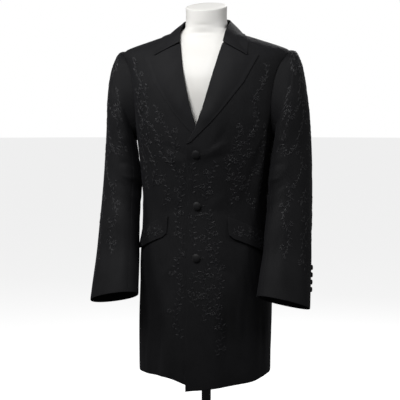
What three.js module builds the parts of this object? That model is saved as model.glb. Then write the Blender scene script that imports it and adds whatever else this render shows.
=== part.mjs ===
// Long single-breasted peak-lapel blazer worn on a limbless torso form with a pole and a round base.
// Millimetres, +Z up. The wearer faces -Y, and the wearer's left is +X. The origin is on the floor,
// under the middle of the base. Every piece of cloth is a closed wall between two skins.
import * as THREE from 'three';

// ---- driving dimensions ----
const WALL = 2; // body cloth with its canvas, wall thickness
const SEAM = 0.3; // air between two pieces at a seam
const HEM_Z = 541; // hem at the side seams
const ARMPIT_Z = 1151; // lowest point of the armhole
const SHOULDER_Z = 1383; // top of the armhole, at the end of the shoulder seam
const NECK_Z = 1430; // height of the neck seam at the sides
const BREAK_Z = 1139; // where the lapel starts to turn out, just above the top button
const FRONT_EDGE = 25; // how far each front reaches past the centre line
const LAP = 3; // lift of the left front over the right one
const LAP_AT_BREAK = 7; // and where the right lapel's foot lies between them
const VENT_Z = 800; // top of the centre back vent
const VENT_LAP = 28; // how far the left back laps over the right one below it
const BUTTONS_Z = [1118, 985, 852]; // three front buttons
const FORM_Z = 742; // underside of the form
const NECK_RADIUS = 54; // its neck
const NECK_TOP = 1500; // middle of the form's neck cap
const POLE_RADIUS = 12.5;
const BASE_RADIUS = 170;
const BASE_HEIGHT = 12;

// Horizontal sections of the worn coat: half width, depth in front of and behind the shoulder line,
// and how square the section is.
const SECTIONS = [
  { z: 480, half: 174, front: 146, back: 142, square: 2.35 },
  { z: 541, half: 174, front: 145, back: 140, square: 2.35 },
  { z: 640, half: 175, front: 141, back: 137, square: 2.35 },
  { z: 740, half: 175, front: 135, back: 133, square: 2.4 },
  { z: 850, half: 173, front: 126, back: 124, square: 2.4 },
  { z: 978, half: 168, front: 117, back: 108, square: 2.4 },
  { z: 1060, half: 172, front: 122, back: 108, square: 2.4 },
  { z: 1126, half: 179, front: 128, back: 112, square: 2.4 },
  { z: 1200, half: 188, front: 130, back: 117, square: 2.4 },
  { z: 1260, half: 197, front: 125, back: 118, square: 2.35 },
  { z: 1310, half: 209, front: 113, back: 114, square: 2.3 },
  { z: 1350, half: 221, front: 96, back: 104, square: 2.25 },
  { z: 1372, half: 226, front: 84, back: 96, square: 2.2 },
  { z: 1386, half: 214, front: 75, back: 88, square: 2.2 },
  { z: 1394, half: 195, front: 70, back: 83, square: 2.2 },
  { z: 1402, half: 171, front: 66, back: 79, square: 2.2 },
  { z: 1410, half: 146, front: 62, back: 75, square: 2.2 },
  { z: 1418, half: 121, front: 59, back: 71, square: 2.2 },
  { z: 1425, half: 97, front: 57, back: 67, square: 2.2 },
  { z: 1431, half: 76, front: 55, back: 63, square: 2.2 },
  { z: 1440, half: 68, front: 54, back: 60, square: 2.2 },
];

// Soft vertical flutes and drag folds of the body: the angle round from the centre front (degrees,
// towards the wearer's left), how far that angle drifts per metre of height, the middle height,
// the half height, the half width in degrees and how far the cloth swells out.
const BODY_FOLDS = [
  { at: -38, drift: -12, middle: 610, reach: 190, width: 7, swell: -5 },
  { at: -24, drift: 6, middle: 600, reach: 180, width: 6, swell: 4 },
  { at: 30, drift: 14, middle: 620, reach: 200, width: 8, swell: -4 },
  { at: 52, drift: 10, middle: 640, reach: 200, width: 8, swell: 5 },
  { at: -70, drift: 0, middle: 620, reach: 200, width: 9, swell: 4 },
  { at: 104, drift: 0, middle: 640, reach: 210, width: 10, swell: -5 },
  { at: 148, drift: 8, middle: 640, reach: 230, width: 9, swell: 5 },
  { at: -112, drift: 4, middle: 640, reach: 210, width: 10, swell: -5 },
  { at: -150, drift: -6, middle: 650, reach: 230, width: 9, swell: 4 },
  { at: 58, drift: 120, middle: 1130, reach: 90, width: 6, swell: -3 },
  { at: -58, drift: -120, middle: 1120, reach: 90, width: 6, swell: -3 },
  { at: 128, drift: 70, middle: 1010, reach: 80, width: 8, swell: -3 },
  { at: -128, drift: -70, middle: 1010, reach: 80, width: 8, swell: -3 },
];

// Sections of a sleeve, from the head to the cuff: the outer and the inner point (x, z), the middle's
// depth y, half the depth and the forward lean of the section's plane in degrees.
const SLEEVE = [
  { outX: 235, outZ: 1380, inX: 191.5, inZ: 1147, y: 4, half: 69, lean: 0 },
  { outX: 250, outZ: 1351, inX: 193, inZ: 1140, y: 3, half: 71, lean: 0 },
  { outX: 261, outZ: 1300, inX: 191, inZ: 1126, y: 2, half: 73, lean: 0 },
  { outX: 268, outZ: 1240, inX: 187, inZ: 1104, y: 1, half: 73, lean: 1 },
  { outX: 272, outZ: 1172, inX: 183, inZ: 1074, y: -1, half: 72, lean: 2 },
  { outX: 275, outZ: 1104, inX: 180, inZ: 1038, y: -8, half: 70, lean: 4 },
  { outX: 277, outZ: 1040, inX: 176, inZ: 1000, y: -18, half: 68, lean: 7 },
  { outX: 279, outZ: 980, inX: 172, inZ: 958, y: -31, half: 66, lean: 11 },
  { outX: 281, outZ: 918, inX: 169, inZ: 910, y: -48, half: 64, lean: 15 },
  { outX: 284, outZ: 852, inX: 167, inZ: 856, y: -64, half: 62, lean: 18 },
  { outX: 286, outZ: 790, inX: 162, inZ: 803, y: -89, half: 60, lean: 20 },
  { outX: 288, outZ: 731, inX: 157, inZ: 752, y: -112, half: 58, lean: 20 },
];
// Creases of the sleeves: how far down (0 head, 1 cuff), the angle round from the outer line
// (degrees, towards the front), half length down, half width and depth.
const SLEEVE_FOLDS = [
  { down: 0.14, round: 70, long: 0.09, wide: 17, swell: -5 },
  { down: 0.17, round: -75, long: 0.1, wide: 18, swell: -5 },
  { down: 0.36, round: 105, long: 0.07, wide: 26, swell: -4 },
  { down: 0.56, round: 118, long: 0.035, wide: 40, swell: -5 },
  { down: 0.64, round: 100, long: 0.035, wide: 38, swell: -4 },
  { down: 0.6, round: -60, long: 0.06, wide: 28, swell: 3 },
  { down: 0.82, round: 60, long: 0.1, wide: 16, swell: -3 },
];

// The roll line of a lapel and its outer edge, from the break point up (x from the centre, z).
const ROLL_LINE = [[-25, 1139], [0, 1183], [17, 1232], [32, 1290], [45, 1345], [57, 1402]];
const LAPEL_EDGE = [[-25, 1139], [-8, 1153], [38, 1198], [62, 1226], [84, 1255], [117, 1300], [150, 1368]];

const rad = THREE.MathUtils.degToRad;
const mix = THREE.MathUtils.lerp;
const smooth = (value, from, to) => THREE.MathUtils.smoothstep(value, from, to);
const hump = (distance) => (Math.abs(distance) < 1 ? 0.5 + 0.5 * Math.cos(Math.PI * distance) : 0);

// Smooth curve through a table's values at parameter t, counted in rows.
function through(values, t) {
  const last = values.length - 1;
  const i = Math.min(Math.max(Math.floor(t), 0), last - 1);
  const f = Math.min(Math.max(t - i, 0), 1);
  const p = [values[Math.max(i - 1, 0)], values[i], values[i + 1], values[Math.min(i + 2, last)]];
  const slopeIn = (p[2] - p[0]) / 2;
  const slopeOut = (p[3] - p[1]) / 2;
  const f2 = f * f;
  const f3 = f2 * f;
  return p[1] * (2 * f3 - 3 * f2 + 1) + slopeIn * (f3 - 2 * f2 + f)
    + p[2] * (3 * f2 - 2 * f3) + slopeOut * (f3 - f2);
}

// x of a line given as [x, z] points, at height z.
function lineX(points, z) {
  const i = Math.max(1, points.findIndex((p) => p[1] >= z));
  const index = z > points[points.length - 1][1] ? points.length - 1 : i;
  const [low, high] = [points[index - 1], points[index]];
  return mix(low[0], high[0], Math.min(Math.max((z - low[1]) / (high[1] - low[1]), 0), 1));
}

// The section of the worn coat at a height, its values eased between the table's rows.
function section(z) {
  const last = SECTIONS.length - 1;
  let i = SECTIONS.findIndex((row) => row.z > z) - 1;
  i = i < -1 ? last - 1 : Math.max(i, 0);
  const f = Math.min(Math.max((z - SECTIONS[i].z) / (SECTIONS[i + 1].z - SECTIONS[i].z), 0), 1);
  const value = (key) => {
    const slope = (k) => {
      const [low, high] = [SECTIONS[Math.max(k - 1, 0)], SECTIONS[Math.min(k + 1, last)]];
      return (high[key] - low[key]) / (high.z - low.z);
    };
    const step = SECTIONS[i + 1].z - SECTIONS[i].z;
    const f2 = f * f;
    const f3 = f2 * f;
    return SECTIONS[i][key] * (2 * f3 - 3 * f2 + 1) + slope(i) * step * (f3 - 2 * f2 + f)
      + SECTIONS[i + 1][key] * (3 * f2 - 2 * f3) + slope(i + 1) * step * (f3 - f2);
  };
  return { half: value('half'), front: value('front'), back: value('back'), square: value('square') };
}

// Plain point of the coat's outer skin. The angle is 0 at the centre front, 90 degrees at the left side.
function plainPoint(angle, z) {
  const s = section(z);
  const power = 2 / s.square;
  const [sin, cos] = [Math.sin(angle), Math.cos(angle)];
  const depth = cos > 0 ? s.front : s.back;
  return new THREE.Vector3(
    s.half * Math.sign(sin) * Math.abs(sin) ** power,
    -depth * Math.sign(cos) * Math.abs(cos) ** power,
    z,
  );
}

// Outward normal of the plain skin, from two chords, kept away from the section's corners.
function plainNormal(angle, z) {
  const step = 0.03;
  const round = plainPoint(angle + step, z).sub(plainPoint(angle - step, z));
  const up = plainPoint(angle, z + 2).sub(plainPoint(angle, z - 2));
  return round.cross(up).normalize();
}

function foldSwell(angle, z) {
  let total = 0;
  for (const fold of BODY_FOLDS) {
    const centre = fold.at + fold.drift * (z - fold.middle) / 1000;
    const away = THREE.MathUtils.euclideanModulo(THREE.MathUtils.radToDeg(angle) - centre + 180, 360) - 180;
    const along = z < fold.middle ? Math.min((fold.middle - z) / (3 * fold.reach), 1) : (z - fold.middle) / fold.reach;
    total += fold.swell * hump(away / (2 * fold.width)) * hump(along);
  }
  return total;
}

// Point of the coat's outer skin, moved out by offset.
function skin(angle, z, offset = 0) {
  return plainPoint(angle, z).addScaledVector(plainNormal(angle, z), foldSwell(angle, z) + offset);
}

// Angle at which the section at height z reaches the given x (in front of or behind the shoulder line).
function angleAtX(x, z, behind = false) {
  const s = section(z);
  const angle = Math.asin(Math.min(Math.abs(x) / s.half, 1) ** (s.square / 2)) * Math.sign(x);
  return behind ? Math.PI - angle : angle;
}

// ---- the armhole: an egg in the YZ plane, projected on the skin ----
const ARMHOLE = { y: 4, z: (SHOULDER_Z + ARMPIT_Z) / 2, front: 64, back: 70, high: (SHOULDER_Z - ARMPIT_Z) / 2, square: 2.2 };

function armholeY(z, behind) {
  const rise = Math.min(Math.abs(z - ARMHOLE.z) / ARMHOLE.high, 1);
  const share = (1 - rise ** ARMHOLE.square) ** (1 / ARMHOLE.square);
  return ARMHOLE.y + share * (behind ? ARMHOLE.back : -ARMHOLE.front);
}

function angleAtY(y, z) {
  const s = section(z);
  const depth = y < 0 ? s.front : s.back;
  const angle = Math.acos(Math.min(Math.abs(y) / depth, 1) ** (s.square / 2));
  return y < 0 ? angle : Math.PI - angle;
}

// Height of the armhole's lower half at an angle round the body.
function armholeBottom(angle) {
  let [low, high] = [ARMPIT_Z, ARMHOLE.z];
  for (let i = 0; i < 30; i += 1) {
    const z = (low + high) / 2;
    const y = plainPoint(angle, z).y;
    const inside = y > armholeY(z, false) && y < armholeY(z, true);
    if (inside) high = z;
    else low = z;
  }
  return (low + high) / 2;
}

// ---- walls ----
// A closed solid between an outer grid of points and an inner one.
function wallGeometry(outer, inner) {
  const rows = outer.length;
  const columns = outer[0].length;
  const points = [...outer.flat(), ...inner.flat()];
  const at = (side, r, c) => side * rows * columns + r * columns + c;
  const triangles = [];
  const quad = (a, b, c, d) => triangles.push(a, b, c, a, c, d);
  const spans = columns - 1;
  for (let r = 0; r < rows - 1; r += 1) {
    for (let c = 0; c < spans; c += 1) {
      quad(at(0, r, c), at(0, r, c + 1), at(0, r + 1, c + 1), at(0, r + 1, c));
      quad(at(1, r, c), at(1, r + 1, c), at(1, r + 1, c + 1), at(1, r, c + 1));
    }
    quad(at(0, r, 0), at(0, r + 1, 0), at(1, r + 1, 0), at(1, r, 0));
    quad(at(0, r, spans), at(1, r, spans), at(1, r + 1, spans), at(0, r + 1, spans));
  }
  for (let c = 0; c < spans; c += 1) {
    quad(at(0, 0, c), at(1, 0, c), at(1, 0, c + 1), at(0, 0, c + 1));
    quad(at(0, rows - 1, c), at(0, rows - 1, c + 1), at(1, rows - 1, c + 1), at(1, rows - 1, c));
  }
  const geometry = new THREE.BufferGeometry();
  geometry.setAttribute('position', new THREE.Float32BufferAttribute(points.flatMap((p) => p.toArray()), 3));
  geometry.setIndex(triangles);
  return geometry;
}

// Pulls the rim of a grid in by half a seam, so that two neighbours stay a seam apart.
function trimmed(grid) {
  const out = grid.map((row) => row.map((p) => p.clone()));
  const rows = out.length;
  const columns = out[0].length;
  const pull = (r, c, r2, c2) => {
    const along = grid[r2][c2].clone().sub(grid[r][c]).normalize();
    out[r][c].addScaledVector(along, SEAM / 2);
  };
  for (let r = 0; r < rows; r += 1) {
    pull(r, 0, r, 1);
    pull(r, columns - 1, r, columns - 2);
  }
  for (let c = 0; c < columns; c += 1) {
    pull(0, c, 1, c);
    pull(rows - 1, c, rows - 2, c);
  }
  return out;
}

// A wall whose inner skin lies WALL behind its outer one. spot(row, column) gives [angle, z, offset].
function panelGeometry(rows, columns, spot) {
  const grid = (depth) => {
    const lines = [];
    for (let r = 0; r <= rows; r += 1) {
      const line = [];
      for (let c = 0; c <= columns; c += 1) {
        const [angle, z, offset] = spot(r / rows, c / columns);
        line.push(skin(angle, z, offset - depth));
      }
      lines.push(line);
    }
    return trimmed(lines);
  };
  return wallGeometry(grid(0), grid(WALL));
}

// The hem drops towards the front edges, more on the left front that hangs over the right one.
function hemDrop(angle) {
  const turn = THREE.MathUtils.radToDeg(angle);
  if (turn > 90 || turn < -90) return 0;
  if (turn >= -12) return -mix(37, 0, Math.min(Math.max((turn + 10) / 88, 0), 1) ** 0.75);
  return -26 * smooth(turn, -26, -12);
}

// Height of a row with the hem's droop, which fades out upwards.
function droppedZ(z, angle, side) {
  const drop = side < 0 ? -26 * smooth(THREE.MathUtils.radToDeg(angle), -26, 8) : hemDrop(angle);
  const rightOnly = side < 0 && Math.abs(angle) > Math.PI / 2 ? 0 : drop;
  return z + rightOnly * (1 - smooth(z, HEM_Z, HEM_Z + 320));
}

const FRONT_SEAM = rad(70); // seam between the front and the side body
const BACK_SEAM = rad(112); // seam between the side body and the back

// Heights of the rows of the fronts and backs, closer together where the shoulders curve.
const HEIGHTS = [
  541, 590, 640, 700, 760, 797, 824, 880, 940, 1000, 1060, 1105, 1139, 1160, 1183, 1230, 1275, 1315, 1345,
  1366, 1383, 1394, 1404, 1414, 1423, 1430,
];

// Where a front or back ends outwards at height z: the side seam, the armhole or the shoulder ridge.
function outerAngle(z, behind) {
  const seam = behind ? BACK_SEAM : FRONT_SEAM;
  if (z >= SHOULDER_Z) return Math.PI / 2;
  const joint = armholeBottom(seam);
  if (z <= joint) return seam;
  return angleAtY(armholeY(z, behind), z);
}

function heightRow(share) {
  return HEIGHTS[Math.round(share * (HEIGHTS.length - 1))];
}

// How far the left front stands off the right one where it laps over it. At the break it also clears
// the foot of the right lapel.
function lapLift(x, z) {
  const stand = mix(LAP, LAP_AT_BREAK, smooth(z, 1085, 1139));
  return stand * (1 - smooth(x, 46, 90)) * (1 - smooth(z, 1205, 1270));
}

// side is +1 for the wearer's left and -1 for the right.
function frontPanel(side) {
  const columns = 12;
  return panelGeometry(HEIGHTS.length - 1, columns, (up, across) => {
    const z = heightRow(up);
    const edge = z <= BREAK_Z ? -FRONT_EDGE : lineX(ROLL_LINE, Math.min(z, 1402));
    const top = smooth(z, 1402, NECK_Z);
    const inner = z > 1402 ? mix(angleAtX(57, 1402), rad(66), top) : angleAtX(edge, z);
    const angle = side > 0 ? mix(inner, outerAngle(z, false), across) : -mix(outerAngle(z, false), inner, across);
    const x = plainPoint(angle, z).x;
    return [angle, droppedZ(z, angle, side), side > 0 ? lapLift(x, z) : 0];
  });
}

function sidePanel(side) {
  const rows = 14;
  return panelGeometry(rows, 5, (up, across) => {
    const share = side > 0 ? across : 1 - across;
    const angle = mix(FRONT_SEAM, BACK_SEAM, share) * side;
    const top = armholeBottom(Math.abs(angle));
    return [angle, droppedZ(mix(HEM_Z, top, up), angle, side), 0];
  });
}

function backPanel(side) {
  return panelGeometry(HEIGHTS.length - 1, 9, (up, across) => {
    const z = heightRow(up);
    const lap = side > 0 && z < VENT_Z ? VENT_LAP : 0;
    const inner = angleAtX(-lap, z, true);
    const centre = lap > 0 ? inner : Math.PI;
    const outer = outerAngle(z, true);
    const angle = side > 0 ? mix(outer, centre, across) : -mix(centre, outer, across);
    const x = -plainPoint(angle, z).x;
    const lift = side > 0 ? LAP * smooth(x, -45, -12) * (1 - smooth(z, VENT_Z + 25, VENT_Z + 100)) : 0;
    return [angle, z, lift];
  });
}

// ---- sleeves ----
// The armhole's rim, as seen from the sleeve: round is 0 at the top and runs towards the front.
function armholeRim(round) {
  const [up, out] = [Math.cos(round), Math.sin(round)];
  const power = 2 / ARMHOLE.square;
  const z = ARMHOLE.z + ARMHOLE.high * Math.sign(up) * Math.abs(up) ** power;
  const y = ARMHOLE.y - Math.sign(out) * Math.abs(out) ** power * (out > 0 ? ARMHOLE.front : ARMHOLE.back);
  const p = skin(angleAtY(y, z), z);
  return new THREE.Vector3(p.x + SEAM + 0.2, p.y, p.z);
}

const TOE_IN = 0.22; // the sleeve's front turns in across the body, its back turns out

function sleeveSection(row, round) {
  const top = new THREE.Vector3(row.outX, 0, row.outZ);
  const low = new THREE.Vector3(row.inX, 0, row.inZ);
  const middle = top.clone().add(low).multiplyScalar(0.5);
  const across = top.clone().sub(low).multiplyScalar(0.5);
  const lean = rad(row.lean);
  const depth = new THREE.Vector3(0, -Math.cos(lean), Math.sin(lean)).multiplyScalar(row.half);
  const power = 2 / 2.15;
  const [cos, sin] = [Math.cos(round), Math.sin(round)];
  middle.y = row.y;
  const p = middle.addScaledVector(across, Math.sign(cos) * Math.abs(cos) ** power)
    .addScaledVector(depth, Math.sign(sin) * Math.abs(sin) ** power);
  p.x += TOE_IN * smooth(1300 - p.z, 0, 200) * (p.y - row.y);
  return p;
}

function sleevePlain(down, round) {
  const stations = [armholeRim(round), ...SLEEVE.map((row) => sleeveSection(row, round))];
  const t = down * (stations.length - 1);
  return new THREE.Vector3(
    through(stations.map((p) => p.x), t),
    through(stations.map((p) => p.y), t),
    through(stations.map((p) => p.z), t),
  );
}

// Outer skin of the left sleeve, with its creases and pressed clear of the body by gap.
function sleevePoint(down, round, depth) {
  const step = 0.02;
  const low = Math.max(down - step, 0);
  const high = Math.min(down + step, 1);
  const along = sleevePlain(high, round).sub(sleevePlain(low, round));
  const turn = sleevePlain(down, round + 0.05).sub(sleevePlain(down, round - 0.05));
  const normal = turn.cross(along).normalize();
  let swell = 0;
  for (const fold of SLEEVE_FOLDS) {
    const away = THREE.MathUtils.euclideanModulo(THREE.MathUtils.radToDeg(round) - fold.round + 180, 360) - 180;
    swell += fold.swell * hump(away / (2 * fold.wide)) * hump((down - fold.down) / (2 * fold.long));
  }
  const p = sleevePlain(down, round).addScaledVector(normal, swell - depth);
  const gap = 9 * smooth(down, 0.12, 0.3) * smooth(1 - down, -1, 0.2) + 1.2 * smooth(down, 0, 0.04);
  return clearOfBody(p, gap + depth * 0.6);
}

// Moves a point out of the body's side, level, until it is clear by the margin.
function clearOfBody(p, margin) {
  const s = section(p.z);
  const depth = p.y < 0 ? s.front : s.back;
  const measure = (Math.abs(p.x) / s.half) ** s.square + (Math.abs(p.y) / depth) ** s.square;
  const grown = 1 + (margin / s.half) * s.square;
  if (measure >= grown || margin <= 0) return p;
  const push = (grown / measure) ** (1 / s.square);
  return new THREE.Vector3(p.x * push, p.y * push, p.z);
}

const FRONT_ARM_SEAM = 125; // degrees round from the outer line to the inner front seam
const BACK_ARM_SEAM = -100; // and to the seam at the back
const CUFF_BUTTONS = -24; // and to the row of cuff buttons, on the outer edge of the arm

function sleevePiece(side, from, to, columns) {
  const rows = 17;
  const grid = (depth) => {
    const lines = [];
    for (let r = 0; r <= rows; r += 1) {
      const line = [];
      for (let c = 0; c <= columns; c += 1) {
        const share = side > 0 ? 1 - c / columns : c / columns;
        const p = sleevePoint((r / rows) ** 1.15, rad(mix(from, to, share)), depth);
        line.push(new THREE.Vector3(p.x * side, p.y, p.z));
      }
      lines.unshift(line);
    }
    return trimmed(lines);
  };
  return wallGeometry(grid(0), grid(WALL));
}

// ---- lapels, collar, flaps ----
// Point on the front's skin over (x, z), moved out by offset.
function overFront(x, z, offset) {
  const height = Math.min(z, NECK_Z);
  return skin(angleAtX(x, height), height, offset);
}

const LAPEL_GAP = WALL + SEAM + 0.2; // from the front's outer skin to a lapel's outer skin

function lapel(side) {
  const [rows, columns] = [11, 6];
  const grid = (depth) => {
    const lines = [];
    for (let r = 0; r <= rows; r += 1) {
      const up = r / rows;
      const foot = side > 0 ? BREAK_Z + 6 : BREAK_Z + 14; // the right one starts hidden under the left front
      const z0 = mix(foot, 1400, up);
      const z1 = mix(foot + 4, 1370, up);
      const [x0, x1] = [lineX(ROLL_LINE, z0), lineX(LAPEL_EDGE, z1)];
      const line = [];
      for (let c = 0; c <= columns; c += 1) {
        const across = c / columns;
        const x = mix(x0, Math.max(x1, x0 + 3), across);
        const notch = -13 * (across < 0.67 ? across / 0.67 : (1 - across) / 0.33) * smooth(up, 0.75, 1);
        const z = mix(z0, z1, across) + notch;
        const over = side > 0 ? lapLift(x, z) : 0;
        const belly = 3.2 * Math.sin(Math.PI * Math.min(across * 1.15, 1)) * smooth(up, 0.12, 0.4);
        line.push(overFront(x, z, over + LAPEL_GAP + belly - depth));
      }
      lines.push(line);
    }
    return trimmed(lines).map((line) => mirrored(line, side));
  };
  return wallGeometry(grid(0), grid(WALL));
}

// A row of points for the given side: mirrored rows also run the other way, so faces stay outwards.
function mirrored(line, side) {
  return side > 0 ? line : line.map((p) => new THREE.Vector3(-p.x, p.y, p.z)).reverse();
}

// Height of the coat's skin above (x, y) on the shoulders.
function shoulderHeight(x, y) {
  let [low, high] = [1340, 1440];
  for (let i = 0; i < 24; i += 1) {
    const z = (low + high) / 2;
    const s = section(z);
    const depth = y < 0 ? s.front : s.back;
    const inside = (Math.abs(x) / s.half) ** s.square + (Math.abs(y) / depth) ** s.square < 1;
    if (inside) low = z;
    else high = z;
  }
  return low;
}

// Stations of the collar from the left gorge round the back: the fold's point and the leaf's edge.
const COLLAR = [
  { foldX: 58, foldY: -68, foldZ: 1405, edgeX: 122, edgeY: -82, edgeZ: 1371 },
  { foldX: 61, foldY: -53, foldZ: 1427, edgeX: 120, edgeY: -52, edgeZ: 1393 },
  { foldX: 63, foldY: -29, foldZ: 1443, edgeX: 108, edgeY: -22, edgeZ: 1414 },
  { foldX: 64, foldY: 4, foldZ: 1456, edgeX: 99, edgeY: 12, edgeZ: 1424 },
  { foldX: 58, foldY: 34, foldZ: 1463, edgeX: 84, edgeY: 50, edgeZ: 1422 },
  { foldX: 36, foldY: 57, foldZ: 1468, edgeX: 50, edgeY: 78, edgeZ: 1416 },
  { foldX: 0, foldY: 66, foldZ: 1470, edgeX: 0, edgeY: 88, edgeZ: 1412 },
];

// A collar value at t from 0 (left gorge) to 1 (right gorge).
function collarAt(key, t) {
  const place = (t < 0.5 ? t : 1 - t) * 2 * (COLLAR.length - 1);
  const values = COLLAR.map((row) => row[key]);
  const whole = [...values, ...values.slice(0, -1).reverse().map((v) => (key.endsWith('X') ? -v : v))];
  return through(whole, t < 0.5 ? place : whole.length - 1 - place);
}

function collarLeaf() {
  const [rows, columns] = [5, 26];
  const lines = [];
  const inner = [];
  for (let r = 0; r <= rows; r += 1) {
    const line = [];
    const back = [];
    for (let c = 0; c <= columns; c += 1) {
      const t = c / columns;
      const drop = 1 - r / rows;
      const fold = new THREE.Vector3(collarAt('foldX', t), collarAt('foldY', t), collarAt('foldZ', t));
      const edge = new THREE.Vector3(collarAt('edgeX', t), collarAt('edgeY', t), collarAt('edgeZ', t));
      const p = fold.clone().lerp(edge, drop);
      const out = new THREE.Vector3(p.x, p.y, 0).normalize();
      const roll = Math.sin(Math.PI * drop) * smooth(Math.min(t, 1 - t), 0, 0.13);
      p.addScaledVector(out, 5 * roll).z += 7 * roll;
      const floor = shoulderHeight(p.x, p.y) + 4.2;
      p.z = Math.max(p.z, floor);
      line.push(p);
      const lean = out.multiplyScalar(0.6);
      lean.z = 0.8;
      back.push(p.clone().addScaledVector(lean, -1.6));
    }
    lines.push(line);
    inner.push(back);
  }
  return wallGeometry(trimmed(lines), trimmed(inner));
}

// Height of the neck seam: level round the back, falling to the gorge in front.
function neckSeamZ(y) {
  return mix(1403, NECK_Z, smooth(y, -62, -22));
}

// The stand rises from the neck seam to the fold, inside the leaf.
function collarStand() {
  const [rows, columns] = [3, 28];
  const grid = (depth) => {
    const lines = [];
    for (let r = 0; r <= rows; r += 1) {
      const line = [];
      for (let c = 0; c <= columns; c += 1) {
        const t = mix(0.09, 0.91, c / columns);
        const fold = new THREE.Vector3(collarAt('foldX', t), collarAt('foldY', t), collarAt('foldZ', t) - 2.4);
        const low = Math.min(neckSeamZ(fold.y) + 1.2, fold.z - 2.5);
        const s = section(low);
        const deep = fold.y < 0 ? s.front : s.back;
        const measure = (Math.abs(fold.x) / s.half) ** s.square + (Math.abs(fold.y) / deep) ** s.square;
        const grow = measure ** (-1 / s.square);
        const seam = new THREE.Vector3(fold.x * grow, fold.y * grow, low);
        const out = new THREE.Vector3(fold.x, fold.y, 0).normalize();
        const p = seam.lerp(fold, r / rows).addScaledVector(out, -mix(0.4, 1.2, r / rows) - depth);
        line.push(p);
      }
      lines.push(line);
    }
    return lines;
  };
  return wallGeometry(grid(0), grid(1.6));
}

// Slanted pocket flap: its top edge runs from the inner end down towards the side.
const FLAP = { innerX: 78, z: 958, sweep: 45, drop: 44, deep: 52 };

function flap(side) {
  const [rows, columns] = [4, 9];
  const grid = (depth) => {
    const lines = [];
    for (let r = 0; r <= rows; r += 1) {
      const line = [];
      for (let c = 0; c <= columns; c += 1) {
        const along = c / columns;
        const down = 1 - r / rows;
        const corner = 5 * (hump(along / 0.12) + hump((1 - along) / 0.12)) * down * down;
        const z = FLAP.z - FLAP.drop * along - (FLAP.deep - corner) * down;
        const start = angleAtX(FLAP.innerX, 930);
        const angle = start + along * rad(FLAP.sweep) + down * 0.02;
        const flare = side < 0 ? 5 * smooth(along, 0.25, 1) * down : 2.5 * down;
        const p = skin(angle, z, WALL + SEAM + 0.6 + flare - depth);
        line.push(p);
      }
      lines.push(line);
    }
    return lines.map((line) => mirrored(line, side));
  };
  return wallGeometry(grid(0), grid(1.6));
}

// ---- buttons ----
// A covered button: a domed disc on a short shank, turned about its own axis.
function buttonGeometry(radius, thick) {
  const profile = [
    [0, 0], [radius * 0.3, 0], [radius * 0.3, thick * 0.3], [radius * 0.86, thick * 0.34],
    [radius, thick * 0.56], [radius * 0.84, thick * 0.84], [radius * 0.45, thick * 0.97], [0, thick],
  ];
  return new THREE.LatheGeometry(profile.map(([r, h]) => new THREE.Vector2(r, h)), 14);
}

const UP = new THREE.Vector3(0, 1, 0);

// A button on the outside of a wall, a seam's width off it, where a line towards the wall meets it.
function seatedButton(name, radius, thick, wall, near, outwards) {
  const start = near.clone().addScaledVector(outwards, 20);
  const hit = new THREE.Raycaster(start, outwards.clone().negate()).intersectObject(wall)[0];
  const mesh = new THREE.Mesh(buttonGeometry(radius, thick), cloth.button);
  mesh.name = name;
  mesh.position.copy(hit.point).addScaledVector(hit.face.normal, SEAM);
  mesh.quaternion.setFromUnitVectors(UP, hit.face.normal);
  return mesh;
}

// ---- the form ----
// Solid torso that fills the coat's shoulders, eased in from the cloth below them, with its neck.
function formGeometry() {
  const heights = [
    FORM_Z, FORM_Z + 2, 800, 870, 940, 1010, 1070, 1130, 1183, 1230, 1275, 1315, 1345, 1366, 1383, 1394, 1404,
    1414, 1423, 1430,
  ];
  const columns = 40;
  const ringAt = (place) => Array.from({ length: columns }, (_, c) => place((c / columns) * 2 * Math.PI));
  const rings = heights.map((z, row) => ringAt((angle) => {
    const end = 8.5 * hump((z - 1362) / 50) * smooth(Math.abs(Math.sin(angle)), 0.45, 0.9);
    const ease = mix(16, 1.9, smooth(z, 1180, 1375)) + 12 * hump((z - 960) / 260) + end;
    const rim = row === 0 ? 8 : 0;
    const p = plainPoint(angle, z).addScaledVector(plainNormal(angle, z), -WALL - ease - rim);
    return z > FORM_Z + 2 ? p : p.setZ(z);
  }));
  const tilt = Math.tan(rad(14.5));
  const neckRings = [
    { z: 1440, radius: NECK_RADIUS + 2.5 }, { z: 1452, radius: NECK_RADIUS + 0.5 },
    { z: 1470, radius: NECK_RADIUS - 0.5 }, { z: NECK_TOP - 4, radius: NECK_RADIUS }, { z: NECK_TOP, radius: NECK_RADIUS - 4 },
  ];
  for (const ring of neckRings) {
    const share = smooth(ring.z, 1440, 1475);
    rings.push(ringAt((angle) => {
      const y = -ring.radius * Math.cos(angle) + 1;
      return new THREE.Vector3(ring.radius * Math.sin(angle), y, ring.z + y * tilt * share);
    }));
  }
  return cappedRings(rings);
}

// A closed solid through a stack of rings, with a middle point on each end.
function cappedRings(rings) {
  const columns = rings[0].length;
  const centre = (ring) => ring.reduce((sum, p) => sum.add(p), new THREE.Vector3()).multiplyScalar(1 / columns);
  const points = [...rings.flat(), centre(rings[0]), centre(rings[rings.length - 1])];
  const at = (r, c) => r * columns + (c % columns);
  const triangles = [];
  for (let c = 0; c < columns; c += 1) {
    for (let r = 0; r < rings.length - 1; r += 1) {
      triangles.push(at(r, c), at(r, c + 1), at(r + 1, c + 1), at(r, c), at(r + 1, c + 1), at(r + 1, c));
    }
    triangles.push(points.length - 2, at(0, c + 1), at(0, c));
    triangles.push(points.length - 1, at(rings.length - 1, c), at(rings.length - 1, c + 1));
  }
  const geometry = new THREE.BufferGeometry();
  geometry.setAttribute('position', new THREE.Float32BufferAttribute(points.flatMap((p) => p.toArray()), 3));
  geometry.setIndex(triangles);
  return geometry;
}

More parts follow.
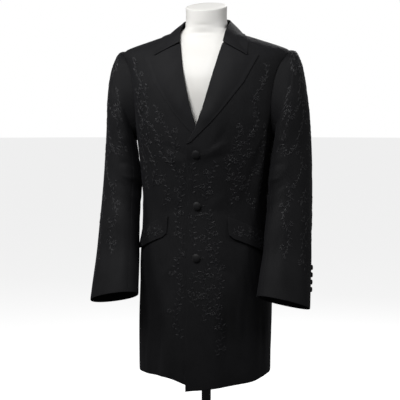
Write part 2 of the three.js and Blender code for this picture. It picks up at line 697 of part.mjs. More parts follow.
function poleGeometry() {
  const [low, high] = [BASE_HEIGHT + SEAM, FORM_Z - SEAM];
  const profile = [[0, low], [26, low], [26, low + 5], [18, low + 22], [POLE_RADIUS, low + 26],
    [POLE_RADIUS, high - 14], [30, high - 6], [30, high], [0, high]];
  return new THREE.LatheGeometry(profile.map(([r, h]) => new THREE.Vector2(r, h)), 20);
}

function baseGeometry() {
  const profile = [[0, 0], [BASE_RADIUS, 0], [BASE_RADIUS, BASE_HEIGHT - 5], [BASE_RADIUS - 5, BASE_HEIGHT], [0, BASE_HEIGHT]];
  return new THREE.LatheGeometry(profile.map(([r, h]) => new THREE.Vector2(r, h)), 48);
}

// ---- materials ----
const finish = (color, roughness, metalness = 0) => new THREE.MeshStandardMaterial({ color, roughness, metalness });
const cloth = {
  body: finish(0x232326, 0.85),
  trim: finish(0x29292c, 0.7),
  button: finish(0x161618, 0.6),
};
const formPaint = finish(0xe9e8e6, 0.45);
const steel = finish(0x1c1c1e, 0.4, 0.6);

// ---- the object ----
const blazer = new THREE.Group();
function add(name, geometry, material) {
  const mesh = new THREE.Mesh(geometry, material);
  mesh.name = name;
  blazer.add(mesh);
  return mesh;
}

const walls = {};
for (const [word, side] of [['left', 1], ['right', -1]]) {
  walls[`front_${word}`] = add(`front_${word}`, frontPanel(side), cloth.body);
  add(`side_body_${word}`, sidePanel(side), cloth.body);
  add(`back_${word}`, backPanel(side), cloth.body);
  const sleeve = add(`top_sleeve_${word}`, sleevePiece(side, BACK_ARM_SEAM, FRONT_ARM_SEAM, 12), cloth.body);
  add(`under_sleeve_${word}`, sleevePiece(side, FRONT_ARM_SEAM, BACK_ARM_SEAM + 360, 8), cloth.body);
  add(`lapel_${word}`, lapel(side), cloth.trim);
  add(`pocket_flap_${word}`, flap(side), cloth.body);
  for (let i = 0; i < 4; i += 1) {
    const down = 0.93 - i * 0.024;
    const round = rad(CUFF_BUTTONS);
    const near = sleevePoint(down, round, 0);
    const outwards = near.clone().sub(sleevePoint(down, round, 4)).normalize();
    near.x *= side;
    outwards.x *= side;
    blazer.add(seatedButton(`cuff_button_${word}_${i + 1}`, 6.8, 4.4, sleeve, near, outwards));
  }
}
add('collar_leaf', collarLeaf(), cloth.trim);
add('collar_stand', collarStand(), cloth.trim);
BUTTONS_Z.forEach((z, i) => {
  const angle = angleAtX(0, z);
  blazer.add(seatedButton(`front_button_${i + 1}`, 10.5, 5.5, walls.front_left, skin(angle, z), plainNormal(angle, z)));
});

add('form_torso', formGeometry(), formPaint);
for (const [name, geometry] of [['stand_pole', poleGeometry()], ['stand_base', baseGeometry()]]) {
  add(name, geometry, steel).rotation.x = Math.PI / 2;
}

export default blazer;
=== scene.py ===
# %% [markdown]
# # A long blazer on a torso form
# This notebook dresses a fixed frame: a long single-breasted blazer with peak lapels, worn by a limbless
# torso form on a pole. Every panel of a tailored coat is a thin wall of wool. The frame gives each wall's
# place and size, and the cells below rebuild each one on the same curves with many more points, so that
# seams, creases, rolled edges and stitched work can show.

# %% Load the frame
import math

import bmesh
import bpy
import numpy as np
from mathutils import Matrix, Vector


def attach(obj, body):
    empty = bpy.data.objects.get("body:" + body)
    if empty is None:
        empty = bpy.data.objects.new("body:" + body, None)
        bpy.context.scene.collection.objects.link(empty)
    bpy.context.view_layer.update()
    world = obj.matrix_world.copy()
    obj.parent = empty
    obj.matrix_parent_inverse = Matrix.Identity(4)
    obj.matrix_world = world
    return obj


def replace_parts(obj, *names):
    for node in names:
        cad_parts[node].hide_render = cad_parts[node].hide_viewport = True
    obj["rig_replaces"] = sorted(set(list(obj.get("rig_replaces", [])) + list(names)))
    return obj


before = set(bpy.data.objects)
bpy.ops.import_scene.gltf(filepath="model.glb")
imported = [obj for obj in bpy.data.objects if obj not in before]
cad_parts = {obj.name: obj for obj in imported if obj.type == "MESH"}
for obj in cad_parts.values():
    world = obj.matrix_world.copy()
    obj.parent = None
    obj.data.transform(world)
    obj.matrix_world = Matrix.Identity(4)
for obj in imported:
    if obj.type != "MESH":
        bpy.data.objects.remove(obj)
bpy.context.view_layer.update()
print("frame nodes:", len(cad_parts))

# %% [markdown]
# ## The driving sizes
# A cutter works from a few measures: where the hem, the break, the armpit, the shoulder and the neck
# seam lie, how far the fronts overlap and how thick the cloth is. All shapes below follow from them.
# Lengths are in millimetres here and become metres only when a mesh is made.

# %% Driving sizes
MM = 0.001
WALL = 2.0  # the cloth with its canvas
HEM_Z, VENT_Z, BREAK_Z, ARMPIT_Z, SHOULDER_Z, NECK_Z = 541.0, 800.0, 1139.0, 1151.0, 1383.0, 1430.0
FRONT_EDGE = 25.0  # each front runs this far past the middle
VENT_LAP = 28.0
LAP, LAP_AT_BREAK = 3.0, 7.0  # lift of the upper front, and where the lapels cross
LAPEL_GAP = 2.5
FRONT_SEAM, BACK_SEAM = math.radians(70), math.radians(112)
NECK_RADIUS = 54.0
print("coat length over the back:", NECK_Z - HEM_Z, "mm")

# %% [markdown]
# ## Horizontal sections of the worn coat
# Seen from above, a coat on a figure is close to a superellipse: an ellipse with squarer corners. One row
# holds a height, the half width, the depth in front and behind, and the squareness. Values between the
# rows are eased with a cubic, so the side line runs in and out like a fitted waist.

# %% Section table
SECTIONS = np.array([
    (480, 174, 146, 142, 2.35), (541, 174, 145, 140, 2.35), (640, 175, 141, 137, 2.35),
    (740, 175, 135, 133, 2.4), (850, 173, 126, 124, 2.4), (978, 168, 117, 108, 2.4),
    (1060, 172, 122, 108, 2.4), (1126, 179, 128, 112, 2.4), (1200, 188, 130, 117, 2.4),
    (1260, 197, 125, 118, 2.35), (1310, 209, 113, 114, 2.3), (1350, 221, 96, 104, 2.25),
    (1372, 226, 84, 96, 2.2), (1386, 214, 75, 88, 2.2), (1394, 195, 70, 83, 2.2),
    (1402, 171, 66, 79, 2.2), (1410, 146, 62, 75, 2.2), (1418, 121, 59, 71, 2.2),
    (1425, 97, 57, 67, 2.2), (1431, 76, 55, 63, 2.2), (1440, 68, 54, 60, 2.2),
])


def smooth(value, low, high):
    t = np.clip((np.asarray(value, float) - low) / (high - low), 0, 1)
    return t * t * (3 - 2 * t)


def mix(a, b, t):
    return a + (b - a) * t


def hump(distance):
    """1 in the middle, 0 at a distance of 1, smooth in between."""
    return np.where(np.abs(distance) < 1, 0.5 + 0.5 * np.cos(np.pi * np.asarray(distance)), 0)


def hermite(f, low, high, slope_low, slope_high):
    f2, f3 = f * f, f * f * f
    return (low * (2 * f3 - 3 * f2 + 1) + slope_low * (f3 - 2 * f2 + f)
            + high * (3 * f2 - 2 * f3) + slope_high * (f3 - f2))


def section(z):
    """Half width, front depth, back depth and squareness at the heights z."""
    z = np.asarray(z, float)
    heights = SECTIONS[:, 0]
    last = len(heights) - 1
    i = np.clip(np.searchsorted(heights, z, side="right") - 1, 0, last - 1)
    step = heights[i + 1] - heights[i]
    f = np.clip((z - heights[i]) / step, 0, 1)[..., None]

    def slope(k):
        low, high = np.maximum(k - 1, 0), np.minimum(k + 1, last)
        return (SECTIONS[high, 1:] - SECTIONS[low, 1:]) / (heights[high] - heights[low])[..., None]

    values = hermite(f, SECTIONS[i, 1:], SECTIONS[i + 1, 1:], slope(i) * step[..., None],
                     slope(i + 1) * step[..., None])
    return np.moveaxis(values, -1, 0)


def plain_point(angle, z):
    """Outer skin without folds. The angle is 0 at the centre front and 90 degrees at the left side."""
    angle, z = np.broadcast_arrays(np.asarray(angle, float), np.asarray(z, float))
    half, front, back, square = section(z)
    sin, cos = np.sin(angle), np.cos(angle)
    depth = np.where(cos > 0, front, back)
    power = 2 / square
    x = half * np.sign(sin) * np.abs(sin) ** power
    y = -depth * np.sign(cos) * np.abs(cos) ** power
    return np.stack([x, y, z], -1)


def unit(v):
    return v / np.maximum(np.linalg.norm(v, axis=-1, keepdims=True), 1e-9)


def plain_normal(angle, z):
    step = 0.03
    round_ = plain_point(angle + step, z) - plain_point(angle - step, z)
    up = plain_point(angle, np.asarray(z) + 2) - plain_point(angle, np.asarray(z) - 2)
    return unit(np.cross(round_, up))


def angle_at_x(x, z, behind=False):
    half, _, _, square = section(z)
    angle = np.arcsin(np.minimum(np.abs(x) / half, 1) ** (square / 2)) * np.sign(x)
    return math.pi - angle if behind else angle


print("sections:", len(SECTIONS))

# %% [markdown]
# ## Folds and creases
# Heavy wool hangs in a few long flutes from the hips down, and breaks into short drag folds where the
# arm joins and where the coat is buttoned. The large ones are in the frame's solids, and are repeated
# here. Finer ones are added as soft troughs and ridges along short lines, each uneven in length and depth.

# %% Fold tables
# at and drift (degrees, degrees a metre), middle and reach (height), width (degrees), swell (mm)
FLUTES = [
    (-38, -12, 610, 190, 7, -5), (-24, 6, 600, 180, 6, 4), (30, 14, 620, 200, 8, -4),
    (52, 10, 640, 200, 8, 5), (-70, 0, 620, 200, 9, 4), (104, 0, 640, 210, 10, -5),
    (148, 8, 640, 230, 9, 5), (-112, 4, 640, 210, 10, -5), (-150, -6, 650, 230, 9, 4),
    (58, 120, 1130, 90, 6, -3), (-58, -120, 1120, 90, 6, -3),
    (128, 70, 1010, 80, 8, -3), (-128, -70, 1010, 80, 8, -3),
]
# from (degrees, z) to (degrees, z), half width (mm), swell (mm), bow (mm)
CREASES = [
    (2, 1108, 24, 1150, 7, 1.6, 4), (4, 1098, 30, 1118, 8, -1.7, 5), (5, 1122, 22, 1196, 8, -1.4, -6),
    (-6, 1112, -26, 1140, 8, -1.6, -4), (-8, 1100, -30, 1104, 7, 1.3, 3), (6, 980, 26, 1016, 8, 1.4, 4),
    (6, 972, 34, 972, 9, -1.6, -3), (-10, 986, -30, 1020, 8, 1.3, -4), (-12, 976, -34, 968, 9, -1.4, 3),
    (6, 842, 30, 800, 9, -1.3, 4), (-12, 846, -28, 790, 9, 1.3, -4), (60, 1190, 40, 1262, 10, -2.1, 8),
    (64, 1170, 50, 1112, 9, 1.7, -6), (56, 1128, 46, 1040, 10, -1.6, 5),
    (-60, 1188, -42, 1256, 10, -2.1, -8), (-64, 1166, -50, 1108, 9, 1.7, 6),
    (-56, 1120, -44, 1044, 10, -1.6, 5), (34, 1300, 40, 1220, 14, -1.6, 4),
    (-34, 1290, -42, 1214, 14, -1.6, -4), (72, 1010, 98, 996, 9, -1.4, 6), (76, 970, 104, 984, 9, 1.3, -5),
    (-72, 1012, -98, 998, 9, -1.4, 6), (-74, 972, -104, 980, 9, 1.3, -5), (66, 905, 84, 780, 11, -1.6, 8),
    (-66, 900, -82, 770, 11, 1.4, -8), (18, 760, 22, 560, 12, -2.3, 8), (40, 800, 38, 590, 13, 2.2, -8),
    (-16, 770, -18, 570, 12, 2.2, -6), (-50, 780, -54, 580, 13, -2.3, 8), (-30, 700, -33, 545, 10, -2.5, 5),
    (62, 720, 66, 560, 12, -2, 6), (120, 1180, 138, 1240, 12, -2, 8), (122, 1150, 144, 1120, 10, 1.6, -5),
    (-120, 1184, -138, 1236, 12, -2, 8), (-122, 1146, -146, 1122, 10, 1.6, -5),
    (150, 1016, 172, 1004, 9, -1.6, 5), (146, 984, 170, 978, 9, 1.4, -4),
    (-150, 1014, -172, 1002, 9, -1.6, 5), (-146, 982, -170, 980, 9, 1.4, -4),
    (160, 1396, 176, 1340, 12, 1.3, 5), (-158, 1394, -174, 1344, 12, 1.3, -5),
    (128, 800, 132, 580, 13, -2.3, 8), (166, 780, 162, 575, 12, 2, -7), (-130, 790, -134, 585, 13, -2.3, 8),
    (-164, 770, -161, 570, 12, 2, 7), (92, 820, 90, 600, 12, 1.8, 5), (-90, 830, -93, 610, 12, -1.3, -5),
]
MM_A_DEGREE = 2.9  # how far a degree runs along the cloth round the body


def along_line(s, t, line):
    """Share of a crease's swell at (s, t), both in mm: full on its bowed line, tapering to its ends."""
    s0, t0, s1, t1, width, swell, bow = line
    run = math.hypot(s1 - s0, t1 - t0)
    e = ((s1 - s0) / run, (t1 - t0) / run)
    f = ((s - s0) * e[0] + (t - t0) * e[1]) / run
    across = -(s - s0) * e[1] + (t - t0) * e[0] - 4 * bow * f * (1 - f)
    taper = np.clip(np.sin(np.pi * np.clip(f, 0, 1)), 0, 1) ** 0.7
    return swell * taper * np.exp(-(across / width) ** 2)


def fold_swell(angle, z):
    degrees = np.degrees(angle)
    total = np.zeros(np.broadcast(angle, z).shape)
    for at, drift, middle, reach, width, swell in FLUTES:
        away = np.mod(degrees - at - drift * (z - middle) / 1000 + 180, 360) - 180
        along = np.where(z < middle, np.minimum((middle - z) / (3 * reach), 1), (z - middle) / reach)
        total = total + swell * hump(away / (2 * width)) * hump(along)
    wrapped = np.mod(degrees + 180, 360) - 180
    for a0, z0, a1, z1, width, swell, bow in CREASES:
        line = (a0 * MM_A_DEGREE, z0, a1 * MM_A_DEGREE, z1, width, swell, bow)
        total = total + along_line(wrapped * MM_A_DEGREE, z, line)
    return total + 0.22 * np.sin(wrapped * 0.55 + z / 47) * np.sin(z / 61 + wrapped * 0.21)


def skin(angle, z, offset=0.0):
    """Points of the coat's outer skin, moved out by offset."""
    normal = plain_normal(angle, z)
    return plain_point(angle, z) + normal * (fold_swell(angle, z) + offset)[..., None]


print("flutes:", len(FLUTES), "creases:", len(CREASES))

# %% [markdown]
# ## A wall of cloth
# Each panel starts as a grid of points on its outer side. The wall's other side lies 2 mm behind it, and
# at the rim both sides curve together to the middle of the thickness, as a turned and pressed edge does.
# A solidify modifier would give sharp square rims, so the rims are shaped here instead. The texture
# coordinates are lengths along the cloth in metres, so a weave keeps its true size on every panel.

# %% The wall function
RIM = 1.1  # radius of a turned edge
RIM_STEPS = (0.15, 0.45, 0.9, 1.5, 2.6)  # distances of the extra lines beside an edge


def lines(count, length, low_edge=True, high_edge=True):
    """Even parameters from 0 to 1 over a length in mm, with extra lines beside each end that is an edge."""
    extra = np.array(RIM_STEPS) / length
    inner = np.linspace(0, 1, count + 1)[1:-1]
    if low_edge:
        inner = np.concatenate([extra, inner[inner > extra[-1] * 1.3]])
    if high_edge:
        inner = np.concatenate([inner[inner < 1 - extra[-1] * 1.3], 1 - extra[::-1]])
    return np.array([0.0, *inner, 1.0])


def run_lengths(grid, axis):
    steps = np.linalg.norm(np.diff(grid, axis=axis), axis=-1)
    start = np.zeros_like(np.take(steps, [0], axis=axis))
    return np.concatenate([start, np.cumsum(steps, axis=axis)], axis=axis)


def grid_normals(grid):
    return unit(np.cross(np.gradient(grid, axis=1), np.gradient(grid, axis=0)))


def mesh_object(name, points, faces, uv=None):
    mesh = bpy.data.meshes.new(name)
    mesh.from_pydata((np.asarray(points) * MM).tolist(), [], faces)
    if uv is not None:
        layer = mesh.uv_layers.new(name="cloth")
        corners = np.empty(len(mesh.loops), np.int32)
        mesh.loops.foreach_get("vertex_index", corners)
        layer.data.foreach_set("uv", np.asarray(uv)[corners].astype(np.float32).ravel())
    mesh.polygons.foreach_set("use_smooth", [True] * len(mesh.polygons))
    obj = bpy.data.objects.new(name, mesh)
    bpy.context.scene.collection.objects.link(obj)
    return obj


def welded(obj, distance=2e-6):
    bm = bmesh.new()
    bm.from_mesh(obj.data)
    bmesh.ops.remove_doubles(bm, verts=bm.verts, dist=distance)
    bm.to_mesh(obj.data)
    bm.free()
    return obj


cut_sizes = {}


def wall(name, outer, thick=WALL, press=0.35, side=1):
    """A closed cloth wall behind the grid of outer points, in mm, with turned edges. side -1 mirrors it."""
    rows, columns = outer.shape[:2]
    across, up = run_lengths(outer, 1), run_lengths(outer, 0)
    rim = np.minimum(np.minimum(across, across[:, -1:] - across), np.minimum(up, up[-1:] - up))
    turned = np.clip(1 - rim / RIM, 0, 1)
    drop = thick / 2 * (1 - np.sqrt(np.clip(1 - turned ** 2, 0, 1)))
    normal = grid_normals(outer)
    press_in = press * np.exp(-(rim / 4) ** 2)
    front = outer - normal * (drop + press_in)[..., None]
    back = outer - normal * (thick - drop + press_in)[..., None]
    points = np.concatenate([front.reshape(-1, 3), back.reshape(-1, 3)])
    uv = np.stack([across, up], -1).reshape(-1, 2) * MM
    index = np.arange(rows * columns).reshape(rows, columns)
    a, b, c, d = index[:-1, :-1], index[:-1, 1:], index[1:, 1:], index[1:, :-1]
    skin_faces = np.stack([a, b, c, d], -1).reshape(-1, 4)
    faces = np.concatenate([skin_faces, skin_faces[:, ::-1] + rows * columns])
    if side < 0:
        points, faces = points * (-1, 1, 1), faces[:, ::-1]
    obj = welded(mesh_object(name, points, faces.tolist(), np.concatenate([uv, uv])))
    cell = np.linalg.norm(np.cross(np.diff(outer, axis=1)[:-1], np.diff(outer, axis=0)[:, :-1]), axis=-1)
    cut_sizes[name] = (across[:, -1].max() * MM, up[-1].max() * MM, cell.sum() * MM * MM)
    return obj


print("rim lines:", len(RIM_STEPS), "beside each edge")

# %% [markdown]
# ## Fronts, side bodies and backs
# A tailored body is cut in six: two fronts, two side bodies without a side seam, and two backs with a
# centre seam that opens into a vent. The fronts end at the front edge, and above the break on the roll
# line of the lapel. A panel is a patch of the same skin between two seams, so neighbours meet exactly.

# %% Where the panels end
HEIGHTS = (541, 590, 640, 700, 760, 797, 824, 880, 940, 1000, 1060, 1105, 1139, 1160, 1183, 1230, 1275,
           1315, 1345, 1366, 1383, 1394, 1404, 1414, 1423, 1430)
ROLL_LINE = ((-25, 1139), (0, 1183), (17, 1232), (32, 1290), (45, 1345), (57, 1402))
LAPEL_EDGE = ((-25, 1139), (-8, 1153), (38, 1198), (62, 1226), (84, 1255), (117, 1300), (150, 1368))
GORGE_X, GORGE_Z, PEAK_Z = 57, 1402, 1368  # where the roll line and the lapel's edge end above
ARMHOLE_Y, ARMHOLE_FRONT, ARMHOLE_BACK, ARMHOLE_SQUARE = 4.0, 64.0, 70.0, 2.2
ARMHOLE_Z = (SHOULDER_Z + ARMPIT_Z) / 2
ARMHOLE_HIGH = (SHOULDER_Z - ARMPIT_Z) / 2
SEAM_TURN = 0.001  # share of a panel's width that each seam takes up


def line_x(points, z):
    xs, zs = zip(*points)
    return np.interp(z, zs, xs)


def armhole_y(z, behind):
    rise = np.minimum(np.abs(z - ARMHOLE_Z) / ARMHOLE_HIGH, 1)
    share = (1 - rise ** ARMHOLE_SQUARE) ** (1 / ARMHOLE_SQUARE)
    return ARMHOLE_Y + share * (ARMHOLE_BACK if behind else -ARMHOLE_FRONT)


def angle_at_y(y, z):
    _, front, back, square = section(z)
    depth = np.where(y < 0, front, back)
    angle = np.arccos(np.minimum(np.abs(y) / depth, 1) ** (square / 2))
    return np.where(y < 0, angle, math.pi - angle)


def armhole_bottom(angle):
    """Height of the armhole's lower half at an angle round the body, found by halving."""
    low = np.full(np.shape(angle), ARMPIT_Z)
    high = np.full(np.shape(angle), ARMHOLE_Z)
    for _ in range(30):
        z = (low + high) / 2
        y = plain_point(angle, z)[..., 1]
        inside = (y > armhole_y(z, False)) & (y < armhole_y(z, True))
        low, high = np.where(inside, low, z), np.where(inside, z, high)
    return (low + high) / 2


def outer_angle(z, behind):
    """Where a front or back ends: at its side seam below and on the armhole's rim above."""
    seam = BACK_SEAM if behind else FRONT_SEAM
    joint = armhole_bottom(np.array(seam))
    at_armhole = angle_at_y(armhole_y(z, behind), z)
    return np.where(z >= SHOULDER_Z, math.pi / 2, np.where(z <= joint, seam, at_armhole))


def hem_drop(angle, side):
    """How far below the level hem the cloth hangs. The fronts fall lower than the back."""
    turn = np.degrees(angle)
    if side < 0:
        return np.where(turn < -90, 0, -26 * smooth(turn, -26, 8))
    hang = -mix(37, 0, np.clip((turn + 10) / 88, 0, 1) ** 0.75)
    return np.where(turn >= 90, 0, hang)


def dropped_z(z, angle, side):
    return z + hem_drop(angle, side) * (1 - smooth(z, HEM_Z, HEM_Z + 320))


def lap_lift(x, z):
    """How far the left front stands off the skin, where it lies over the right one."""
    stand = mix(LAP, LAP_AT_BREAK, smooth(z, 1085, 1139))
    return stand * (1 - smooth(x, 46, 90)) * (1 - smooth(z, 1205, 1270))


def height_lines(count):
    """Heights for the rows of a front or back, with extra lines beside the hem and the neck seam."""
    z = np.interp(np.linspace(0, len(HEIGHTS) - 1, count + 1), range(len(HEIGHTS)), HEIGHTS)[1:-1]
    slope = 0.33  # the shoulder rises this much for each mm towards the neck
    low = [HEM_Z + d for d in RIM_STEPS]
    high = [NECK_Z - d * slope for d in RIM_STEPS]
    return np.array([HEM_Z, *low, *z[(z > low[-1] + 2) & (z < high[-1] - 1)], *reversed(high), NECK_Z])


def seam_lines(count, length):
    return mix(-SEAM_TURN, 1 + SEAM_TURN, lines(count, length))


# %% Fronts
def front_panel(name, side):
    z, across = np.meshgrid(height_lines(150), seam_lines(64, 165), indexing="ij")
    edge = np.where(z <= BREAK_Z, -FRONT_EDGE, line_x(ROLL_LINE, np.minimum(z, GORGE_Z)))
    gorge = angle_at_x(np.array(float(GORGE_X)), np.array(float(GORGE_Z)))
    above = mix(gorge, math.radians(66), smooth(z, GORGE_Z, NECK_Z))
    inner = np.where(z > GORGE_Z, above, angle_at_x(edge, z))
    outer = outer_angle(z, False)
    angle = mix(inner, outer, across) if side > 0 else -mix(outer, inner, across)
    x = plain_point(angle, z)[..., 0]
    lift = lap_lift(x, z) if side > 0 else 0.0 * x
    return wall(name, skin(angle, dropped_z(z, angle, side), lift))


fronts = {side: front_panel(f"cloth_front_{word}", side) for word, side in (("left", 1), ("right", -1))}
print("front:", len(fronts[1].data.polygons), "faces")


# %% Side bodies and backs
def side_panel(name, side):
    up, across = np.meshgrid(lines(120, 620), seam_lines(30, 120), indexing="ij")
    share = across if side > 0 else 1 - across
    angle = mix(FRONT_SEAM, BACK_SEAM, share) * side
    top = armhole_bottom(np.abs(angle))
    return wall(name, skin(angle, dropped_z(mix(HEM_Z, top, up), angle, side)))


def back_panel(name, side):
    z, across = np.meshgrid(height_lines(150), seam_lines(52, 180), indexing="ij")
    lap = np.interp(z, (VENT_Z - 3, VENT_Z + 24), (VENT_LAP, 0)) if side > 0 else 0.0 * z
    centre = angle_at_x(-lap, z, behind=True)
    outer = outer_angle(z, True)
    angle = mix(outer, centre, across) if side > 0 else -mix(centre, outer, across)
    x = -plain_point(angle, z)[..., 0]
    open_vent = 1 - smooth(z, VENT_Z + 25, VENT_Z + 100)
    lift = LAP * smooth(x, -45, -12) * open_vent if side > 0 else 0.0 * z
    return wall(name, skin(angle, z, lift))


sides = {side: side_panel(f"cloth_side_{word}", side) for word, side in (("left", 1), ("right", -1))}
backs = {side: back_panel(f"cloth_back_{word}", side) for word, side in (("left", 1), ("right", -1))}
print("back:", len(backs[1].data.polygons), "faces")

# %% [markdown]
# ## Sleeves
# A sleeve is cut in two, a wide top sleeve and a narrow under sleeve, and is pitched forward below the
# elbow. It is lofted here from the armhole's egg-shaped rim through a table of leaning sections. The
# mouth stays open. Empty sleeves crease at the inner elbow and under the head, where no arm fills them.

# %% Sleeve tables
# outer point (x, z), inner point (x, z), depth y, half depth, lean in degrees
SLEEVE = np.array([
    (235, 1380, 191.5, 1147, 4, 69, 0), (250, 1351, 190, 1140, 3, 71, 0), (261, 1300, 187, 1126, 2, 73, 0),
    (268, 1240, 183, 1104, 1, 73, 1), (272, 1172, 178, 1074, -1, 72, 2), (275, 1104, 174, 1038, -8, 70, 4),
    (277, 1040, 172, 1000, -18, 68, 7), (279, 980, 172, 958, -31, 66, 11), (281, 918, 169, 910, -48, 64, 15),
    (284, 852, 167, 856, -64, 62, 18), (286, 790, 162, 803, -89, 60, 20), (288, 731, 157, 752, -112, 58, 20),
], float)
# down (0 head, 1 cuff), round (degrees), half length (share), half width (degrees), swell (mm)
SLEEVE_FLUTES = [
    (0.14, 70, 0.09, 17, -5), (0.17, -75, 0.1, 18, -5), (0.36, 105, 0.07, 26, -4), (0.56, 118, 0.035, 40, -5),
    (0.64, 100, 0.035, 38, -4), (0.6, -60, 0.06, 28, 3), (0.82, 60, 0.1, 16, -3),
]
# from (down, round) to (down, round), half width (mm), swell (mm), bow (mm)
SLEEVE_CREASES = [
    (0.06, 40, 0.2, 62, 9, 2, 6), (0.05, 15, 0.16, 22, 9, -1.4, -4), (0.07, -30, 0.2, -48, 9, 1.7, -6),
    (0.2, 92, 0.34, 60, 10, -2, 8), (0.3, 112, 0.4, 74, 9, 1.8, -6), (0.44, 128, 0.5, 78, 8, -2.2, 7),
    (0.5, 134, 0.53, 84, 7, 2, -4), (0.6, 126, 0.57, 76, 8, -2, 5), (0.68, 118, 0.63, 80, 9, 1.7, -6),
    (0.46, -70, 0.56, -20, 12, -1.5, 9), (0.66, -66, 0.74, -10, 12, 1.4, -8),
    (0.72, 30, 0.94, 22, 13, -1.5, 8), (0.74, 84, 0.95, 96, 10, -1.8, -7),
    (0.8, -40, 0.96, -52, 11, 1.4, 7), (0.28, -20, 0.46, -4, 14, 1.2, -9),
    (0.32, 24, 0.52, 38, 14, -1.2, 8), (0.25, 150, 0.38, 200, 10, -1.8, 6),
    (0.5, 160, 0.55, 215, 10, 1.7, -5), (0.62, 170, 0.58, 220, 10, -1.7, 6),
    (0.8, 180, 0.95, 175, 12, 1.5, 6),
]
FRONT_ARM_SEAM, BACK_ARM_SEAM = 125.0, -100.0
SLEEVE_SQUARENESS = 2.15  # power of the oval that a sleeve's section is, 2 being a plain one
TOE_IN = 0.22
SLEEVE_LENGTH, MM_A_SLEEVE_DEGREE = 640.0, 1.1


def armhole_rim(turn):
    """The armhole's rim, 0 at the top and running to the front, just under the body's skin."""
    up, out = np.cos(turn), np.sin(turn)
    power = 2 / ARMHOLE_SQUARE
    z = ARMHOLE_Z + ARMHOLE_HIGH * np.sign(up) * np.abs(up) ** power
    reach = np.where(out > 0, ARMHOLE_FRONT, ARMHOLE_BACK)
    y = ARMHOLE_Y - np.sign(out) * np.abs(out) ** power * reach
    angle = angle_at_y(y, z)
    return skin(angle, z) - (1.0, 0, 0)


def sleeve_section(row, turn):
    out_x, out_z, in_x, in_z, y, half, lean = row
    middle = np.array([(out_x + in_x) / 2, y, (out_z + in_z) / 2])
    across = np.array([(out_x - in_x) / 2, 0, (out_z - in_z) / 2])
    lean = math.radians(lean)
    depth = np.array([0, -math.cos(lean), math.sin(lean)]) * half
    power = 2 / SLEEVE_SQUARENESS
    cos, sin = np.cos(turn), np.sin(turn)
    p = (middle + across * (np.sign(cos) * np.abs(cos) ** power)[..., None]
         + depth * (np.sign(sin) * np.abs(sin) ** power)[..., None])
    p[..., 0] += TOE_IN * smooth(1300 - p[..., 2], 0, 200) * (p[..., 1] - y)
    return p


def sleeve_plain(down, turn):
    """Points for every pair of a down and a turn value, as a grid."""
    stations = np.stack([armhole_rim(turn), *(sleeve_section(row, turn) for row in SLEEVE)])
    last = len(stations) - 1
    t = np.clip(down, 0, 1) * last
    i = np.clip(np.floor(t).astype(int), 0, last - 1)
    p = [stations[np.clip(i + k, 0, last)] for k in (-1, 0, 1, 2)]
    f = np.clip(t - i, 0, 1)[:, None, None]
    return hermite(f, p[1], p[2], (p[2] - p[0]) / 2, (p[3] - p[1]) / 2)


def clear_of_body(p, margin):
    """Moves points level out of the body's side until they are clear of it by the margin."""
    half, front, back, square = section(p[..., 2])
    depth = np.where(p[..., 1] < 0, front, back)
    measure = (np.abs(p[..., 0]) / half) ** square + (np.abs(p[..., 1]) / depth) ** square
    grown = 1 + margin / half * square
    push = np.where(measure < grown, (grown / measure) ** (1 / square), 1)
    return np.stack([p[..., 0] * push, p[..., 1] * push, p[..., 2]], -1)


def sleeve_points(down, turn):
    plain = sleeve_plain(down, turn)
    normal = unit(np.cross(sleeve_plain(down, turn + 0.05) - sleeve_plain(down, turn - 0.05),
                           sleeve_plain(np.minimum(down + 0.02, 1), turn)
                           - sleeve_plain(np.maximum(down - 0.02, 0), turn)))
    d, r = np.meshgrid(down, np.degrees(turn), indexing="ij")
    swell = np.zeros_like(d)
    for at, round_, long, wide, amount in SLEEVE_FLUTES:
        away = np.mod(r - round_ + 180, 360) - 180
        swell += amount * hump(away / (2 * wide)) * hump((d - at) / (2 * long))
    r_open = np.where(r < BACK_ARM_SEAM, r + 360, r)
    for d0, r0, d1, r1, width, amount, bow in SLEEVE_CREASES:
        line = (r0 * MM_A_SLEEVE_DEGREE, d0 * SLEEVE_LENGTH, r1 * MM_A_SLEEVE_DEGREE, d1 * SLEEVE_LENGTH,
                width, amount, bow)
        swell += along_line(r_open * MM_A_SLEEVE_DEGREE, d * SLEEVE_LENGTH, line)
    # the head is eased into the armhole, which leaves faint ripples beside the seam
    swell += 0.35 * np.cos(np.radians(r) * 22) * hump(d / 0.07) * hump((np.mod(r + 180, 360) - 180) / 110)
    gap = 2 * smooth(d, 0, 0.06) + 7 * smooth(d, 0.5, 0.62) - 1.6 * (1 - smooth(d, 0, 0.014))
    return clear_of_body(plain + normal * swell[..., None], gap)


# %% Sleeve walls
def sleeve_wall(name, start, end, columns, side):
    down = lines(150, SLEEVE_LENGTH)
    turn = np.radians(mix(start, end, seam_lines(columns, (end - start) * MM_A_SLEEVE_DEGREE)))
    grid = sleeve_points(down[::-1], turn[::-1])
    return wall(name, grid, side=side)


top_sleeves, under_sleeves = {}, {}
for word, side in (("left", 1), ("right", -1)):
    top_sleeves[side] = sleeve_wall(f"cloth_top_sleeve_{word}", BACK_ARM_SEAM, FRONT_ARM_SEAM, 76, side)
    under_sleeves[side] = sleeve_wall(f"cloth_under_sleeve_{word}", FRONT_ARM_SEAM, BACK_ARM_SEAM + 360, 46,
                                      side)
print("top sleeve:", len(top_sleeves[1].data.polygons), "faces")

# %% [markdown]
# ## Peak lapels
# The lapel is the front itself, turned back on the roll line. It is made with its roll: the grid starts on
# the front's edge, runs round a small half circle, and then lies over the chest with a soft belly. The
# peak points up and out past the notch, where the collar's end meets it.

# %% Lapels
ROLL_RADIUS = (LAPEL_GAP + WALL) / 2


def over_front(x, z, offset):
    z = np.minimum(z, NECK_Z)
    return skin(angle_at_x(x, z), z, offset)


